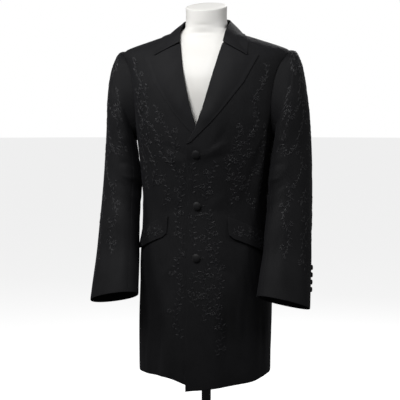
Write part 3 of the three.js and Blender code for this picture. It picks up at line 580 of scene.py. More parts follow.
def lapel_wall(name, side):
    foot = BREAK_Z + (6 if side > 0 else 14)
    up, across = np.meshgrid(lines(80, 255), lines(36, 100, low_edge=False), indexing="ij")
    z0, z1 = mix(foot, 1400, up), mix(foot + 4, 1370, up)
    x0 = line_x(ROLL_LINE, z0)
    x1 = np.maximum(line_x(LAPEL_EDGE, z1), x0 + 3)
    x = mix(x0, x1, across)
    notch = -13 * np.where(across < 0.67, across / 0.67, (1 - across) / 0.33) * smooth(up, 0.75, 1)
    z = mix(z0, z1, across) + notch
    over = lap_lift(x, z) if side > 0 else 0.0 * x
    belly = 3.2 * np.sin(np.pi * np.minimum(across * 1.15, 1)) * smooth(up, 0.12, 0.4)
    body = over_front(x, z, over + LAPEL_GAP + belly)
    turn = np.linspace(math.pi, 0, 12)[:-1]
    start = over_front(x[:, :1], z[:, :1], over[:, :1])
    outwards = plain_normal(angle_at_x(x[:, :1], z[:, :1]), z[:, :1])
    towards = unit(over_front(x[:, :1] + 3, z[:, :1], over[:, :1]) - start)
    centre = start + outwards * (LAPEL_GAP - WALL) / 2
    roll = (centre + outwards * (ROLL_RADIUS * np.cos(turn))[None, :, None]
            - towards * (ROLL_RADIUS * np.sin(turn))[None, :, None])
    return wall(name, np.concatenate([roll, body], axis=1), press=0.2, side=side)


lapels = {side: lapel_wall(f"cloth_lapel_{word}", side) for word, side in (("left", 1), ("right", -1))}
print("lapel:", len(lapels[1].data.polygons), "faces")

# %% [markdown]
# ## Collar
# The leaf falls from the fold onto the shoulders, and the stand carries the fold from the neck seam. A
# table of stations from the gorge to the centre back gives the fold and the leaf's edge, and the other
# half mirrors it. Past the fold the leaf's grid turns over to the inside, so the fold is round.

# %% Collar leaf and stand
# fold (x, y, z), edge (x, y, z)
COLLAR = np.array([
    (58, -68, 1405, 122, -82, 1371), (61, -53, 1427, 120, -52, 1393), (63, -29, 1443, 108, -22, 1414),
    (64, 4, 1456, 99, 12, 1424), (58, 34, 1463, 84, 50, 1422), (36, 57, 1468, 50, 78, 1416),
    (0, 66, 1470, 0, 88, 1412),
], float)
STATIONS = np.concatenate([COLLAR, COLLAR[-2::-1] * (-1, 1, 1, -1, 1, 1)])


def collar_at(t):
    place = t * (len(STATIONS) - 1)
    i = np.clip(np.floor(place).astype(int), 0, len(STATIONS) - 2)
    p = [STATIONS[np.clip(i + k, 0, len(STATIONS) - 1)] for k in (-1, 0, 1, 2)]
    row = hermite((place - i)[..., None], p[1], p[2], (p[2] - p[0]) / 2, (p[3] - p[1]) / 2)
    return row[..., :3], row[..., 3:]


def shoulder_height(x, y):
    low, high = np.full(np.shape(x), 1340.0), np.full(np.shape(x), 1440.0)
    for _ in range(24):
        z = (low + high) / 2
        half, front, back, square = section(z)
        depth = np.where(y < 0, front, back)
        inside = (np.abs(x) / half) ** square + (np.abs(y) / depth) ** square < 1
        low, high = np.where(inside, z, low), np.where(inside, high, z)
    return low


def collar_leaf_wall(name):
    drop, t = np.meshgrid(lines(34, 60, low_edge=False)[::-1], lines(150, 440), indexing="ij")
    fold, edge = collar_at(t)
    p = mix(fold, edge, drop[..., None])
    out = unit(p * (1, 1, 0))
    roll = np.sin(np.pi * drop) * smooth(np.minimum(t, 1 - t), 0, 0.13)
    p = p + out * (2 * roll)[..., None]
    p[..., 2] += 1.2 * roll
    p[..., 2] = np.maximum(p[..., 2], shoulder_height(p[..., 0], p[..., 1]) + 3)
    turn = np.linspace(0, math.pi, 10)[1:, None, None]
    fold_row, fold_out = p[-1], unit(fold[-1] * (1, 1, 0))
    over = (fold_row - fold_out * 1.7 + fold_out * 1.7 * np.cos(turn)
            + np.array([0, 0, 1.7]) * np.sin(turn))
    return wall(name, np.concatenate([p, over]), thick=1.6, press=0.15)


def collar_stand_wall(name):
    up, t = np.meshgrid(lines(14, 30), mix(0.09, 0.91, lines(120, 300)), indexing="ij")
    fold, _ = collar_at(t)
    fold = fold - (0, 0, 2.4)
    seam_z = mix(1403, NECK_Z, smooth(fold[..., 1], -62, -22))
    low = np.minimum(seam_z + 1.2, fold[..., 2] - 2.5)
    half, front, back, square = section(low)
    depth = np.where(fold[..., 1] < 0, front, back)
    measure = (np.abs(fold[..., 0]) / half) ** square + (np.abs(fold[..., 1]) / depth) ** square
    grow = measure ** (-1 / square)
    seam = np.stack([fold[..., 0] * grow, fold[..., 1] * grow, low], -1)
    out = unit(fold * (1, 1, 0))
    grid = mix(seam, fold, up[..., None]) - out * mix(0.4, 1.2, up)[..., None]
    return wall(name, grid, thick=1.6, press=0.1)


collar_leaf = collar_leaf_wall("cloth_collar_leaf")
collar_stand = collar_stand_wall("cloth_collar_stand")
print("collar leaf:", len(collar_leaf.data.polygons), "faces")

# %% [markdown]
# ## Pocket flaps
# A flap is a small lined piece that hangs from the pocket mouth. Both slant down towards the side, and the
# one on the wearer's right stands off the coat at its outer corner, where the cloth is sprung.

# %% Flaps
FLAP_INNER_X, FLAP_INNER_Z = 78.0, 930.0  # where the inner end stands on the skin
FLAP_Z, FLAP_SWEEP, FLAP_DROP = 958.0, 45.0, 44.0  # top height, degrees round the body, slant
FLAP_DEEP, FLAP_LENGTH = 52.0, 138.0


def flap_surface(up, along, side):
    """The flap's outer points, up from its lower edge and along from its inner end, both 0 to 1."""
    down = 1 - up
    corner = 5 * (hump(along / 0.12) + hump((1 - along) / 0.12)) * down * down
    z = FLAP_Z - FLAP_DROP * along - (FLAP_DEEP - corner) * down
    start = angle_at_x(np.array(FLAP_INNER_X), np.array(FLAP_INNER_Z))
    angle = start + along * math.radians(FLAP_SWEEP) + down * 0.02
    flare = (5 * smooth(along, 0.25, 1) if side < 0 else 2.5) * down
    flare = flare + 0.8 * np.sin(along * 9 + side) * down ** 2
    # the skin's own finer creases on that side of the coat are followed
    normal = plain_normal(angle, z)
    swell = fold_swell(angle * side, z)
    return plain_point(angle, z) + normal * (swell + WALL + 0.9 + flare)[..., None]


def flap_wall(name, side):
    grid = flap_surface(*np.meshgrid(lines(30, FLAP_DEEP), lines(64, FLAP_LENGTH), indexing="ij"), side)
    return wall(name, grid, thick=1.6, press=0.2, side=side)


flaps = {side: flap_wall(f"cloth_flap_{word}", side) for word, side in (("left", 1), ("right", -1))}
print("flap:", len(flaps[1].data.polygons), "faces")

# %% [markdown]
# ## Buttons
# The buttons are domed and covered. The three at the front stand on a short thread shank, and the eight
# small ones at the cuffs are sewn down flat. Each is turned about its own axis like a piece on a lathe. The
# axis is read from the frame's button, so every one sits flat on the cloth that carries it.

# %% Buttons
DOME = ((0, 0), (0.3, 0), (0.3, 0.3), (0.82, 0.33), (0.93, 0.4), (1, 0.55), (0.97, 0.66), (0.9, 0.72),
        (0.86, 0.74), (0.82, 0.79), (0.62, 0.9), (0.36, 0.97), (0.12, 1), (0, 1))
FLAT_DOME = ((0, 0), (0.8, 0), (0.95, 0.1), (1, 0.3), (0.98, 0.48), (0.9, 0.68), (0.72, 0.86), (0.4, 0.97),
             (0.12, 1), (0, 1))


def turned_mesh(name, profile, axis, foot, spokes=36):
    """A profile of (radius, height) in mm, turned about the axis that stands on foot."""
    profile = np.asarray(profile, float)
    turn = np.linspace(0, 2 * math.pi, spokes, endpoint=False)
    z_axis = Vector(axis).normalized()
    x_axis = z_axis.orthogonal().normalized()
    basis = np.array([x_axis, z_axis.cross(x_axis), z_axis])
    radius, height = profile[:, 0][:, None], profile[:, 1][:, None]
    local = np.stack([radius * np.cos(turn), radius * np.sin(turn), height + 0 * turn], -1)
    points = local.reshape(-1, 3) @ basis + np.asarray(foot)
    index = np.arange(points.shape[0]).reshape(len(profile), spokes)
    nxt = np.roll(index, -1, axis=1)
    faces = np.stack([index[:-1], nxt[:-1], nxt[1:], index[1:]], -1).reshape(-1, 4)
    return welded(mesh_object(name, points, faces.tolist()), 1e-7)


def button(name, node, radius, thick, profile):
    """A button turned about its frame solid's thinnest direction, facing away from the coat."""
    co = np.array([v.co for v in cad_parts[node].data.vertices]) / MM
    centre = (co.min(0) + co.max(0)) / 2
    axis = np.linalg.svd(np.unique(co.round(3), axis=0) - centre)[2][-1]
    if axis @ (centre * (1, 1, 0) - (0.8 * centre[0], 0, 0)) < 0:
        axis = -axis
    foot = centre + axis * ((co - centre) @ axis).min()
    obj = turned_mesh(name, np.array(profile) * (radius, thick), axis, foot)
    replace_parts(obj, node)
    return obj, centre, axis


buttons = [button(f"button_front_{i}", f"front_button_{i}", 10.5, 5.5, DOME) for i in (1, 2, 3)]
BUTTON_HEIGHTS = [float(centre[2]) for _, centre, _ in buttons]
cuff_buttons = [button(f"button_cuff_{word}_{i}", f"cuff_button_{word}_{i}", 6.8, 4.4, FLAT_DOME)
                for word in ("left", "right") for i in (1, 2, 3, 4)]
print("buttons:", len(buttons) + len(cuff_buttons))

# %% [markdown]
# ## A helper for node trees
# Every tree below is made of a few nodes. One function adds a node, sets it up and links its inputs.

# %% Node helper
def add(tree, kind, inputs=None, **settings):
    made = tree.nodes.new(kind)
    for key, value in settings.items():
        setattr(made, key, value)
    for key, value in (inputs or {}).items():
        if isinstance(value, bpy.types.NodeSocket):
            tree.links.new(value, made.inputs[key])
        else:
            made.inputs[key].default_value = value
    return made


def linear(hex_colour):
    """sRGB hex to the linear colour that shaders use."""
    parts = [int(hex_colour[i:i + 2], 16) / 255 for i in (1, 3, 5)]
    return (*(c / 12.92 if c <= 0.04045 else ((c + 0.055) / 1.055) ** 2.4 for c in parts), 1)


def new_material(name, colour, roughness, **extra):
    """A material with one Principled shader. Values that are the same all over sit on its own sockets."""
    material = bpy.data.materials.new(name)
    material.use_nodes = True
    shader = material.node_tree.nodes["Principled BSDF"]
    shader.inputs["Base Color"].default_value = linear(colour)
    shader.inputs["Roughness"].default_value = roughness
    for key, value in extra.items():
        shader.inputs[key.replace("_", " ")].default_value = value
    return material, material.node_tree, shader


# %% [markdown]
# ## Wool cloth
# The coat is a black worsted wool twill, woven and pressed. Twill shows as fine diagonal ribs, and the
# loose fibre ends give a soft sheen where the cloth turns away. Real ribs are under half a millimetre, too
# fine to show, so they are drawn 1.3 mm apart. A cloudy variation stands for wear and for the nap.

# %% Wool materials
TWILL_SPACING_MM = 1.3


def wool(name, dark, light, sheen, rib_height):
    material, tree, shader = new_material(name, dark, 0.7, Sheen_Weight=sheen, Sheen_Roughness=0.38,
                                          Specular_IOR_Level=0.16)
    shader.inputs["Sheen Tint"].default_value = linear("#8c8c96")
    uv = add(tree, "ShaderNodeUVMap", uv_map="cloth").outputs["UV"]
    turned = add(tree, "ShaderNodeMapping", {"Vector": uv, "Rotation": (0, 0, math.radians(63))})
    waves_a_metre = 1 / (TWILL_SPACING_MM * MM) / 20  # a wave texture makes 20 bands a unit over 2 pi
    ribs = add(tree, "ShaderNodeTexWave", {"Vector": turned.outputs["Vector"],
                                           "Scale": waves_a_metre * math.pi, "Distortion": 1.2,
                                           "Detail": 2.0, "Detail Scale": 2.0})
    place = add(tree, "ShaderNodeTexCoord").outputs["Object"]
    cloud = add(tree, "ShaderNodeTexNoise", {"Vector": place, "Scale": 9.0, "Detail": 4.0, "Roughness": 0.62})
    fibre = add(tree, "ShaderNodeTexNoise", {"Vector": place, "Scale": 900.0, "Detail": 2.0})
    ramp = add(tree, "ShaderNodeMapRange", {"Value": cloud.outputs["Fac"], "From Min": 0.3, "From Max": 0.7})
    tone = add(tree, "ShaderNodeMix", {"Factor": ramp.outputs["Result"]}, data_type="RGBA")
    tone.inputs[6].default_value, tone.inputs[7].default_value = linear(dark), linear(light)
    tree.links.new(tone.outputs[2], shader.inputs["Base Color"])
    bump = add(tree, "ShaderNodeBump", {"Height": ribs.outputs["Fac"], "Strength": rib_height,
                                        "Distance": 0.0004})
    nap = add(tree, "ShaderNodeBump", {"Height": fibre.outputs["Fac"], "Normal": bump.outputs["Normal"],
                                       "Strength": 0.25, "Distance": 0.0003})
    tree.links.new(nap.outputs["Normal"], shader.inputs["Normal"])
    return material


body_wool = wool("black worsted wool twill", "#0f0f11", "#161618", 0.1, 0.5)
facing_wool = wool("plain black wool of the lapels and collar", "#111113", "#18181a", 0.1, 0.35)
print("wool drawn at", TWILL_SPACING_MM, "mm a rib")

# %% [markdown]
# ## Thread and buttons
# Satin stitch is laid in flat trilobal rayon, which shines along the thread. Black on black, it shows only
# by that shine. The buttons are covered in the coat's cloth and pressed hard, so they are a little glossier.

# %% Thread and button materials
def thread(name, colour, roughness):
    material, tree, shader = new_material(name, colour, roughness, Sheen_Weight=0.06,
                                          Sheen_Roughness=0.3, Specular_IOR_Level=0.3)
    place = add(tree, "ShaderNodeTexCoord").outputs["Object"]
    strands = add(tree, "ShaderNodeTexNoise", {"Vector": place, "Scale": 1400.0, "Detail": 1.0})
    bump = add(tree, "ShaderNodeBump", {"Height": strands.outputs["Fac"], "Strength": 0.35,
                                        "Distance": 0.0003})
    tree.links.new(bump.outputs["Normal"], shader.inputs["Normal"])
    return material


satin_thread = thread("black rayon satin stitch", "#141417", 0.48)
sewing_thread = thread("black silk buttonhole twist", "#131315", 0.55)


def covered_button():
    material, tree, shader = new_material("cloth covered button", "#0d0d0f", 0.55, Sheen_Weight=0.05,
                                          Specular_IOR_Level=0.25)
    place = add(tree, "ShaderNodeTexCoord").outputs["Object"]
    weave = add(tree, "ShaderNodeTexVoronoi", {"Vector": place, "Scale": 1100.0})
    bump = add(tree, "ShaderNodeBump", {"Height": weave.outputs["Distance"], "Strength": 0.3,
                                        "Distance": 0.0002})
    tree.links.new(bump.outputs["Normal"], shader.inputs["Normal"])
    return material


button_cover = covered_button()
print("thread materials:", satin_thread.name, "and", sewing_thread.name)

# %% [markdown]
# ## Stitches along a path
# Buttonholes and edge stitches are one small stitch, repeated along a line on the cloth. Geometry Nodes
# suit that: the path is a chain of edges that carries the cloth's outward direction, and the tree lays a
# rounded stitch on every few tenths of a millimetre of it.

# %% Stitch tree
def tree_with(name, *sockets):
    tree = bpy.data.node_groups.new(name, "GeometryNodeTree")
    tree.interface.new_socket("Geometry", in_out="INPUT", socket_type="NodeSocketGeometry")
    for label, kind in sockets:
        tree.interface.new_socket(label, in_out="INPUT", socket_type=kind)
    tree.interface.new_socket("Geometry", in_out="OUTPUT", socket_type="NodeSocketGeometry")
    return tree, tree.nodes.new("NodeGroupInput").outputs, tree.nodes.new("NodeGroupOutput").inputs


def vector_attribute(tree, name):
    return add(tree, "GeometryNodeInputNamedAttribute", {"Name": name}, data_type="FLOAT_VECTOR").outputs[0]


def stitch_tree():
    tree, given, result = tree_with("stitches along a path", ("Spacing", "NodeSocketFloat"),
                                    ("Stitch Size", "NodeSocketVector"), ("Across", "NodeSocketBool"),
                                    ("Thread", "NodeSocketMaterial"))
    path = add(tree, "GeometryNodeMeshToCurve", {"Mesh": given["Geometry"]})
    even = add(tree, "GeometryNodeResampleCurve", {"Curve": path.outputs[0], "Length": given["Spacing"]},
               mode="LENGTH")
    tangent = add(tree, "GeometryNodeInputTangent").outputs[0]
    up = vector_attribute(tree, "up")
    side = add(tree, "ShaderNodeVectorMath", {0: up, 1: tangent}, operation="CROSS_PRODUCT").outputs[0]
    lie = add(tree, "GeometryNodeSwitch", {"Switch": given["Across"], "False": tangent, "True": side},
              input_type="VECTOR").outputs[0]
    turn = add(tree, "FunctionNodeAxesToRotation", {"Primary Axis": up, "Secondary Axis": lie},
               primary_axis="Z", secondary_axis="X")
    ball = add(tree, "GeometryNodeMeshUVSphere", {"Segments": 8, "Rings": 6, "Radius": 1.0})
    laid = add(tree, "GeometryNodeInstanceOnPoints", {"Points": even.outputs[0], "Instance": ball.outputs[0],
                                                      "Rotation": turn.outputs[0],
                                                      "Scale": given["Stitch Size"]})
    real = add(tree, "GeometryNodeRealizeInstances", {"Geometry": laid.outputs[0]})
    soft = add(tree, "GeometryNodeSetShadeSmooth", {"Geometry": real.outputs[0]})
    painted = add(tree, "GeometryNodeSetMaterial", {"Geometry": soft.outputs[0], "Material": given["Thread"]})
    tree.links.new(painted.outputs[0], result["Geometry"])
    return tree


def grown(source, tree, name, **values):
    """Runs a tree on an object and keeps the result as a plain mesh in a new object."""
    modifier = source.modifiers.new("grow", "NODES")
    modifier.node_group = tree
    for item in tree.interface.items_tree:
        if item.in_out == "INPUT" and item.name.replace(" ", "_") in values:
            modifier[item.identifier] = values[item.name.replace(" ", "_")]
    evaluated = source.evaluated_get(bpy.context.evaluated_depsgraph_get())
    mesh = bpy.data.meshes.new_from_object(evaluated)
    mesh.name = name
    bpy.data.objects.remove(source)
    obj = bpy.data.objects.new(name, mesh)
    bpy.context.scene.collection.objects.link(obj)
    return obj


def path_object(name, chains, closed=False):
    """An object of edge chains. Each chain is (points, outward directions), in mm."""
    points, edges, ups = [], [], []
    for chain, up in chains:
        first = len(points)
        points.extend((np.asarray(chain) * MM).tolist())
        ups.extend(np.asarray(up).ravel().tolist())
        edges.extend((first + i, first + i + 1) for i in range(len(chain) - 1))
        if closed:
            edges.append((len(points) - 1, first))
    mesh = bpy.data.meshes.new(name)
    mesh.from_pydata(points, edges, [])
    mesh.attributes.new("up", "FLOAT_VECTOR", "POINT").data.foreach_set("vector", ups)
    obj = bpy.data.objects.new(name, mesh)
    bpy.context.scene.collection.objects.link(obj)
    return obj


stitches = stitch_tree()


def on_body(angle, z, offset=0.0):
    """A point of the coat's skin, with its outward direction, at an angle and a height."""
    angle, z = np.asarray(angle, float), np.asarray(z, float)
    x = plain_point(angle, z)[..., 0]
    lift = np.where(x > -FRONT_EDGE - 1, lap_lift(x, z), 0) * (np.cos(angle) > 0)
    step = 0.012
    e = skin(angle + step, z, lift) - skin(angle - step, z, lift)
    n = skin(angle, z + 2, lift) - skin(angle, z - 2, lift)
    normal = unit(np.cross(e, n))
    return skin(angle, z, lift + offset), normal


# %% Buttonholes
def buttonhole(z):
    """A keyhole: a round eye under the button and two lips that run in from it, on the left front."""
    eye = [(-2 + 2.4 * math.cos(a), 2.4 * math.sin(a)) for a in np.radians(np.linspace(35, 325, 12))]
    lips = ([(x, -1.1) for x in np.linspace(1, 19, 12)] + [(20, 0)]
            + [(x, 1.1) for x in np.linspace(19, 1, 12)])
    x, dz = np.array(eye + lips).T
    return on_body(angle_at_x(x, z + dz), z + dz, 0.1)


holes = grown(path_object("holes", [buttonhole(z) for z in BUTTON_HEIGHTS], closed=True), stitches,
              "stitched_buttonholes", Spacing=0.0007, Stitch_Size=(0.0011, 0.00045, 0.00045), Across=True,
              Thread=sewing_thread)
print("buttonholes:", len(holes.data.polygons), "faces")

# %% [markdown]
# ## The torso form and its stand
# The form is a smooth limbless torso of white fibreglass. It fills the coat from a few millimetres
# inside the cloth and ends in a short neck with a slanted cap. A steel pole carries it on a round base.

# %% Form
FORM_HEIGHTS = (742, 746, 800, 870, 940, 1010, 1070, 1130, 1183, 1230, 1275, 1315, 1345, 1366, 1383, 1394,
                1404, 1414, 1423, 1430)
# (height, growth of the neck's radius)
NECK_RINGS = ((1440, 3.5), (1452, 1), (1470, -0.5), (1496, 0), (1498.2, -0.7), (1499.4, -2), (1500, -4))
CAP_TILT = math.radians(14.5)


def form_mesh(name, columns=128, between=5):
    angle = np.linspace(0, 2 * math.pi, columns, endpoint=False)
    rings = []
    for z in map(float, FORM_HEIGHTS):
        end = 8.5 * hump((z - 1362) / 50) * smooth(np.abs(np.sin(angle)), 0.45, 0.9)
        ease = mix(16, 1.9, smooth(z, 1180, 1375)) + 12 * hump((z - 960) / 260) + end
        ease = ease + (4 if z == FORM_HEIGHTS[0] else 0)
        ring = plain_point(angle, z) - plain_normal(angle, z) * (WALL + ease)[..., None]
        if z < 760:
            ring[..., 2] = z
        rings.append(ring)
    slope = math.tan(CAP_TILT)
    for z, grow in NECK_RINGS:
        throat = 5 * (1 - smooth(z, 1436, 1472)) * np.clip(np.cos(angle), 0, 1) ** 2
        y = -(NECK_RADIUS + grow - throat) * np.cos(angle) + 1
        tilted = z + y * slope * smooth(z, 1440, 1475)
        rings.append(np.stack([(NECK_RADIUS + grow) * np.sin(angle), y, tilted], -1))
    rings = np.array(rings)
    last = len(rings) - 1
    place = np.linspace(0, last, last * between + 1)
    i = np.clip(np.floor(place).astype(int), 0, last - 1)
    p = [rings[np.clip(i + k, 0, last)] for k in (-1, 0, 1, 2)]
    grid = hermite((place - i)[:, None, None], p[1], p[2], (p[2] - p[0]) / 2.4, (p[3] - p[1]) / 2.4)
    caps = [np.repeat(ring.mean(0)[None], columns, 0)[None] for ring in (grid[0], grid[-1])]
    inner = [mix(cap, ring[None], 0.5) for cap, ring in zip(caps, (grid[0], grid[-1]))]
    grid = np.concatenate([caps[0], inner[0], grid, inner[1], caps[1]])
    index = np.arange(grid.shape[0] * columns).reshape(-1, columns)
    after = np.roll(index, -1, axis=1)
    faces = np.stack([index[:-1], after[:-1], after[1:], index[1:]], -1).reshape(-1, 4)
    return welded(mesh_object(name, grid.reshape(-1, 3), faces.tolist()), 1e-7)


form = form_mesh("form_smooth_torso")
print("form:", len(form.data.polygons), "faces")

# %% Pole and base
# (radius, height)
POLE = ((0, 12.3), (25.2, 12.3), (26, 13), (26, 16), (25, 17.6), (21.5, 20), (19.4, 25), (18, 33),
        (14, 37), (12.5, 38.5), (12.5, 727.7), (13, 728.5), (28.6, 735), (30, 736.2),
        (30, 740.9), (29.3, 741.7), (0, 741.7))
BASE = ((0, 0), (168.5, 0), (170, 1.4), (170, 7), (169.5, 8.6), (168, 10.2), (165.6, 11.6), (163, 12),
        (0, 12))
pole = turned_mesh("stand_turned_pole", POLE, (0, 0, 1), (0, 0, 0), 64)
base = turned_mesh("stand_round_base", BASE, (0, 0, 1), (0, 0, 0), 128)
print("base:", len(base.data.polygons), "faces")

# %% [markdown]
# ## Form and stand materials
# Sprayed fibreglass has a faint orange peel and a silky shine, and yellows a little in cloudy patches. The
# steel is powder coated, which leaves a fine pebbled skin that wears brighter on the edges.

# %% Form and stand materials
def fibreglass():
    material, tree, shader = new_material("white sprayed fibreglass", "#e7e6e2", 0.46,
                                          Specular_IOR_Level=0.35)
    place = add(tree, "ShaderNodeTexCoord").outputs["Object"]
    cloud = add(tree, "ShaderNodeTexNoise", {"Vector": place, "Scale": 5.0, "Detail": 3.0})
    tone = add(tree, "ShaderNodeMix", {"Factor": cloud.outputs["Fac"]}, data_type="RGBA")
    tone.inputs[6].default_value, tone.inputs[7].default_value = linear("#ecebe9"), linear("#e2e0da")
    tree.links.new(tone.outputs[2], shader.inputs["Base Color"])
    peel = add(tree, "ShaderNodeTexNoise", {"Vector": place, "Scale": 260.0, "Detail": 1.0})
    bump = add(tree, "ShaderNodeBump", {"Height": peel.outputs["Fac"], "Strength": 0.08, "Distance": 0.0006})
    tree.links.new(bump.outputs["Normal"], shader.inputs["Normal"])
    return material


def powder_coat():
    material, tree, shader = new_material("black powder coated steel", "#1b1b1d", 0.5, Specular_IOR_Level=0.5)
    place = add(tree, "ShaderNodeTexCoord").outputs["Object"]
    pebble = add(tree, "ShaderNodeTexNoise", {"Vector": place, "Scale": 700.0, "Detail": 2.0})
    worn = add(tree, "ShaderNodeNewGeometry").outputs["Pointiness"]
    edge = add(tree, "ShaderNodeMapRange", {"Value": worn, "From Min": 0.54, "From Max": 0.62})
    tone = add(tree, "ShaderNodeMix", {"Factor": edge.outputs["Result"]}, data_type="RGBA")
    tone.inputs[6].default_value, tone.inputs[7].default_value = linear("#1b1b1d"), linear("#3a3a3d")
    tree.links.new(tone.outputs[2], shader.inputs["Base Color"])
    bump = add(tree, "ShaderNodeBump", {"Height": pebble.outputs["Fac"], "Strength": 0.3, "Distance": 0.0003})
    tree.links.new(bump.outputs["Normal"], shader.inputs["Normal"])
    return material


form_gloss, steel = fibreglass(), powder_coat()
print("form and stand:", form_gloss.name, "and", steel.name)

# %% [markdown]
# ## Tone-on-tone vine
# A plain climbing vine is stitched in black satin over the chest, down the front edge, on the sleeves and
# on the flaps. It is laid out on flat charts of the cloth in millimetres, as an embroiderer pricks a
# pattern: stems run through a few points, leaves stand at both sides, and twigs end in small rosettes or
# curl up as tendrils. What would fall under a lapel, flap, seam or button is left out.

# %% Charts of the cloth
def on_grid(grid, u, v):
    """Points and outward directions at the shares u of the rows and v of the columns of an even grid."""
    rows, columns = grid.shape[0] - 1, grid.shape[1] - 1
    r, c = np.clip(u, 0, 1) * rows, np.clip(v, 0, 1) * columns
    i, j = np.minimum(r.astype(int), rows - 1), np.minimum(c.astype(int), columns - 1)
    f, g = (r - i)[:, None], (c - j)[:, None]

    def between(a):
        return mix(mix(a[i, j], a[i, j + 1], g), mix(a[i + 1, j], a[i + 1, j + 1], g), f)

    return between(grid), unit(between(grid_normals(grid)))


def body_chart(s, t):
    return on_body(np.radians(s / MM_A_DEGREE), t, 0.05)


def body_clear(s, t):
    angle = np.radians(s / MM_A_DEGREE)
    turn, x = np.abs(angle), plain_point(angle, t)[..., 0]
    under_lapel = (t > BREAK_Z - 8) & (np.abs(x) < line_x(LAPEL_EDGE, np.minimum(t, PEAK_Z)) + 5)
    along = (turn - angle_at_x(FLAP_INNER_X, FLAP_INNER_Z)) / math.radians(FLAP_SWEEP)
    below = FLAP_Z - FLAP_DROP * along - t
    under_flap = (along > -0.04) & (along < 1.04) & (below > -4) & (below < FLAP_DEEP + 5)
    at_edge = np.abs(x + FRONT_EDGE) < 4
    by_button = np.zeros(np.shape(t), bool)
    for z in BUTTON_HEIGHTS:
        by_button |= (np.abs(t - z) < 15) & (x > -18) & (x < 28)
    inside = (t > 560) & (t < PEAK_Z) & (turn < outer_angle(t, False) - math.radians(3))
    return inside & ~under_lapel & ~under_flap & ~at_edge & ~by_button


TOP_SLEEVE_GRID = sleeve_points(np.linspace(1, 0, 221),
                                np.radians(np.linspace(FRONT_ARM_SEAM, BACK_ARM_SEAM, 181)))


def sleeve_chart(s, t):
    """s runs round the top sleeve and t up it, from 0 at the head to minus its length at the cuff."""
    return on_grid(TOP_SLEEVE_GRID, 1 + t / SLEEVE_LENGTH,
                   (FRONT_ARM_SEAM - s / MM_A_SLEEVE_DEGREE) / (FRONT_ARM_SEAM - BACK_ARM_SEAM))


def sleeve_clear(s, t):
    turn = s / MM_A_SLEEVE_DEGREE
    return (turn > BACK_ARM_SEAM + 22) & (turn < FRONT_ARM_SEAM - 6) & (t < -22) & (t > 12 - SLEEVE_LENGTH)


def flap_chart(side):
    grid = flap_surface(*np.meshgrid(np.linspace(0, 1, 40), np.linspace(0, 1, 100), indexing="ij"), side)
    return lambda s, t: on_grid(grid, t / FLAP_DEEP, s / FLAP_LENGTH)


def flap_clear(s, t):
    return (s > 5) & (s < FLAP_LENGTH - 5) & (t > 5) & (t < FLAP_DEEP - 4)


# %% [markdown]
# ### Layout
# Each stem is a few points in degrees round the piece and a height, or a share down the sleeve. Nothing in
# the layout repeats, and the two sides differ, so the cloth looks hand guided.

# %% Vine layout
# degrees, z
FRONT_STEMS = [
    [(55, 968), (43, 1030), (54, 1092), (41, 1150), (51, 1206), (43, 1256), (52, 1304), (47, 1350)],
    [(43, 1030), (33, 1062), (37, 1108), (29, 1146), (35, 1186)],
    [(62, 1010), (66, 1080), (60, 1140), (64, 1186)],
    [(26, 985), (30, 1040), (22, 1086), (27, 1126)],
    [(4, 690), (8, 742), (3.5, 792), (8, 838), (6, 900), (9, 948), (5, 1010), (9, 1062), (14, 1100)],
    [(0, 724), (-2.5, 778), (1, 826)], [(-2, 880), (-2.5, 930), (0, 964)],
    [(-3, 1012), (-1.5, 1062), (-3, 1096)],
    [(14, 600), (20, 668), (13, 730), (18, 792), (12, 846), (16, 900)],
    [(-10, 640), (-14, 706), (-9, 764), (-14, 828), (-9, 894), (-15, 960), (-10, 1030), (-17, 1092),
     (-14, 1144), (-24, 1198), (-32, 1246)],
    [(-17, 1092), (-27, 1118), (-29, 1160), (-38, 1192)],
    [(-44, 1030), (-36, 1086), (-46, 1140), (-41, 1180)],
    [(-60, 1012), (-53, 1070), (-61, 1130), (-50, 1190), (-57, 1240), (-46, 1292), (-52, 1330), (-48, 1362)],
    [(-50, 1190), (-41, 1216), (-43, 1262), (-38, 1298)], [(-30, 980), (-24, 1030), (-31, 1072)],
]
# degrees, share down the sleeve
SLEEVE_STEMS = [
    [(28, 0.05), (46, 0.12), (22, 0.19), (44, 0.27), (24, 0.35), (46, 0.43), (30, 0.51), (50, 0.58)],
    [(-12, 0.06), (6, 0.13), (-16, 0.21), (2, 0.3), (-18, 0.38), (-2, 0.46), (-20, 0.54)],
    [(-52, 0.1), (-36, 0.18), (-58, 0.26), (-40, 0.35), (-56, 0.44)],
    [(78, 0.12), (90, 0.2), (72, 0.28), (92, 0.37), (74, 0.46)],
    [(18, 0.6), (34, 0.66), (14, 0.73), (32, 0.8), (20, 0.88)],
    [(76, 0.56), (64, 0.63), (84, 0.7), (66, 0.78), (82, 0.86)], [(-24, 0.62), (-38, 0.7), (-22, 0.78)],
]
# mm along and up the flap
FLAP_STEMS = [[(10, 12), (38, 30), (66, 18), (96, 33), (128, 20)]]
LEAF_STEP, ROSETTE_STEP, TENDRIL_STEP = 7.5, 52.0, 43.0


def curve_through(points, step=1.6):
    p = np.asarray(points, float)
    last = len(p) - 1
    place = np.linspace(0, last, last * 40 + 1)
    i = np.clip(np.floor(place).astype(int), 0, last - 1)
    q = [p[np.clip(i + k, 0, last)] for k in (-1, 0, 1, 2)]
    fine = hermite((place - i)[:, None], q[1], q[2], (q[2] - q[0]) / 2, (q[3] - q[1]) / 2)
    run = np.concatenate([[0], np.cumsum(np.linalg.norm(np.diff(fine, axis=0), axis=1))])
    even = np.arange(0, run[-1], step)
    return np.stack([np.interp(even, run, fine[:, k]) for k in (0, 1)], -1), step


def ahead(angle):
    return np.array([math.cos(angle), math.sin(angle)])


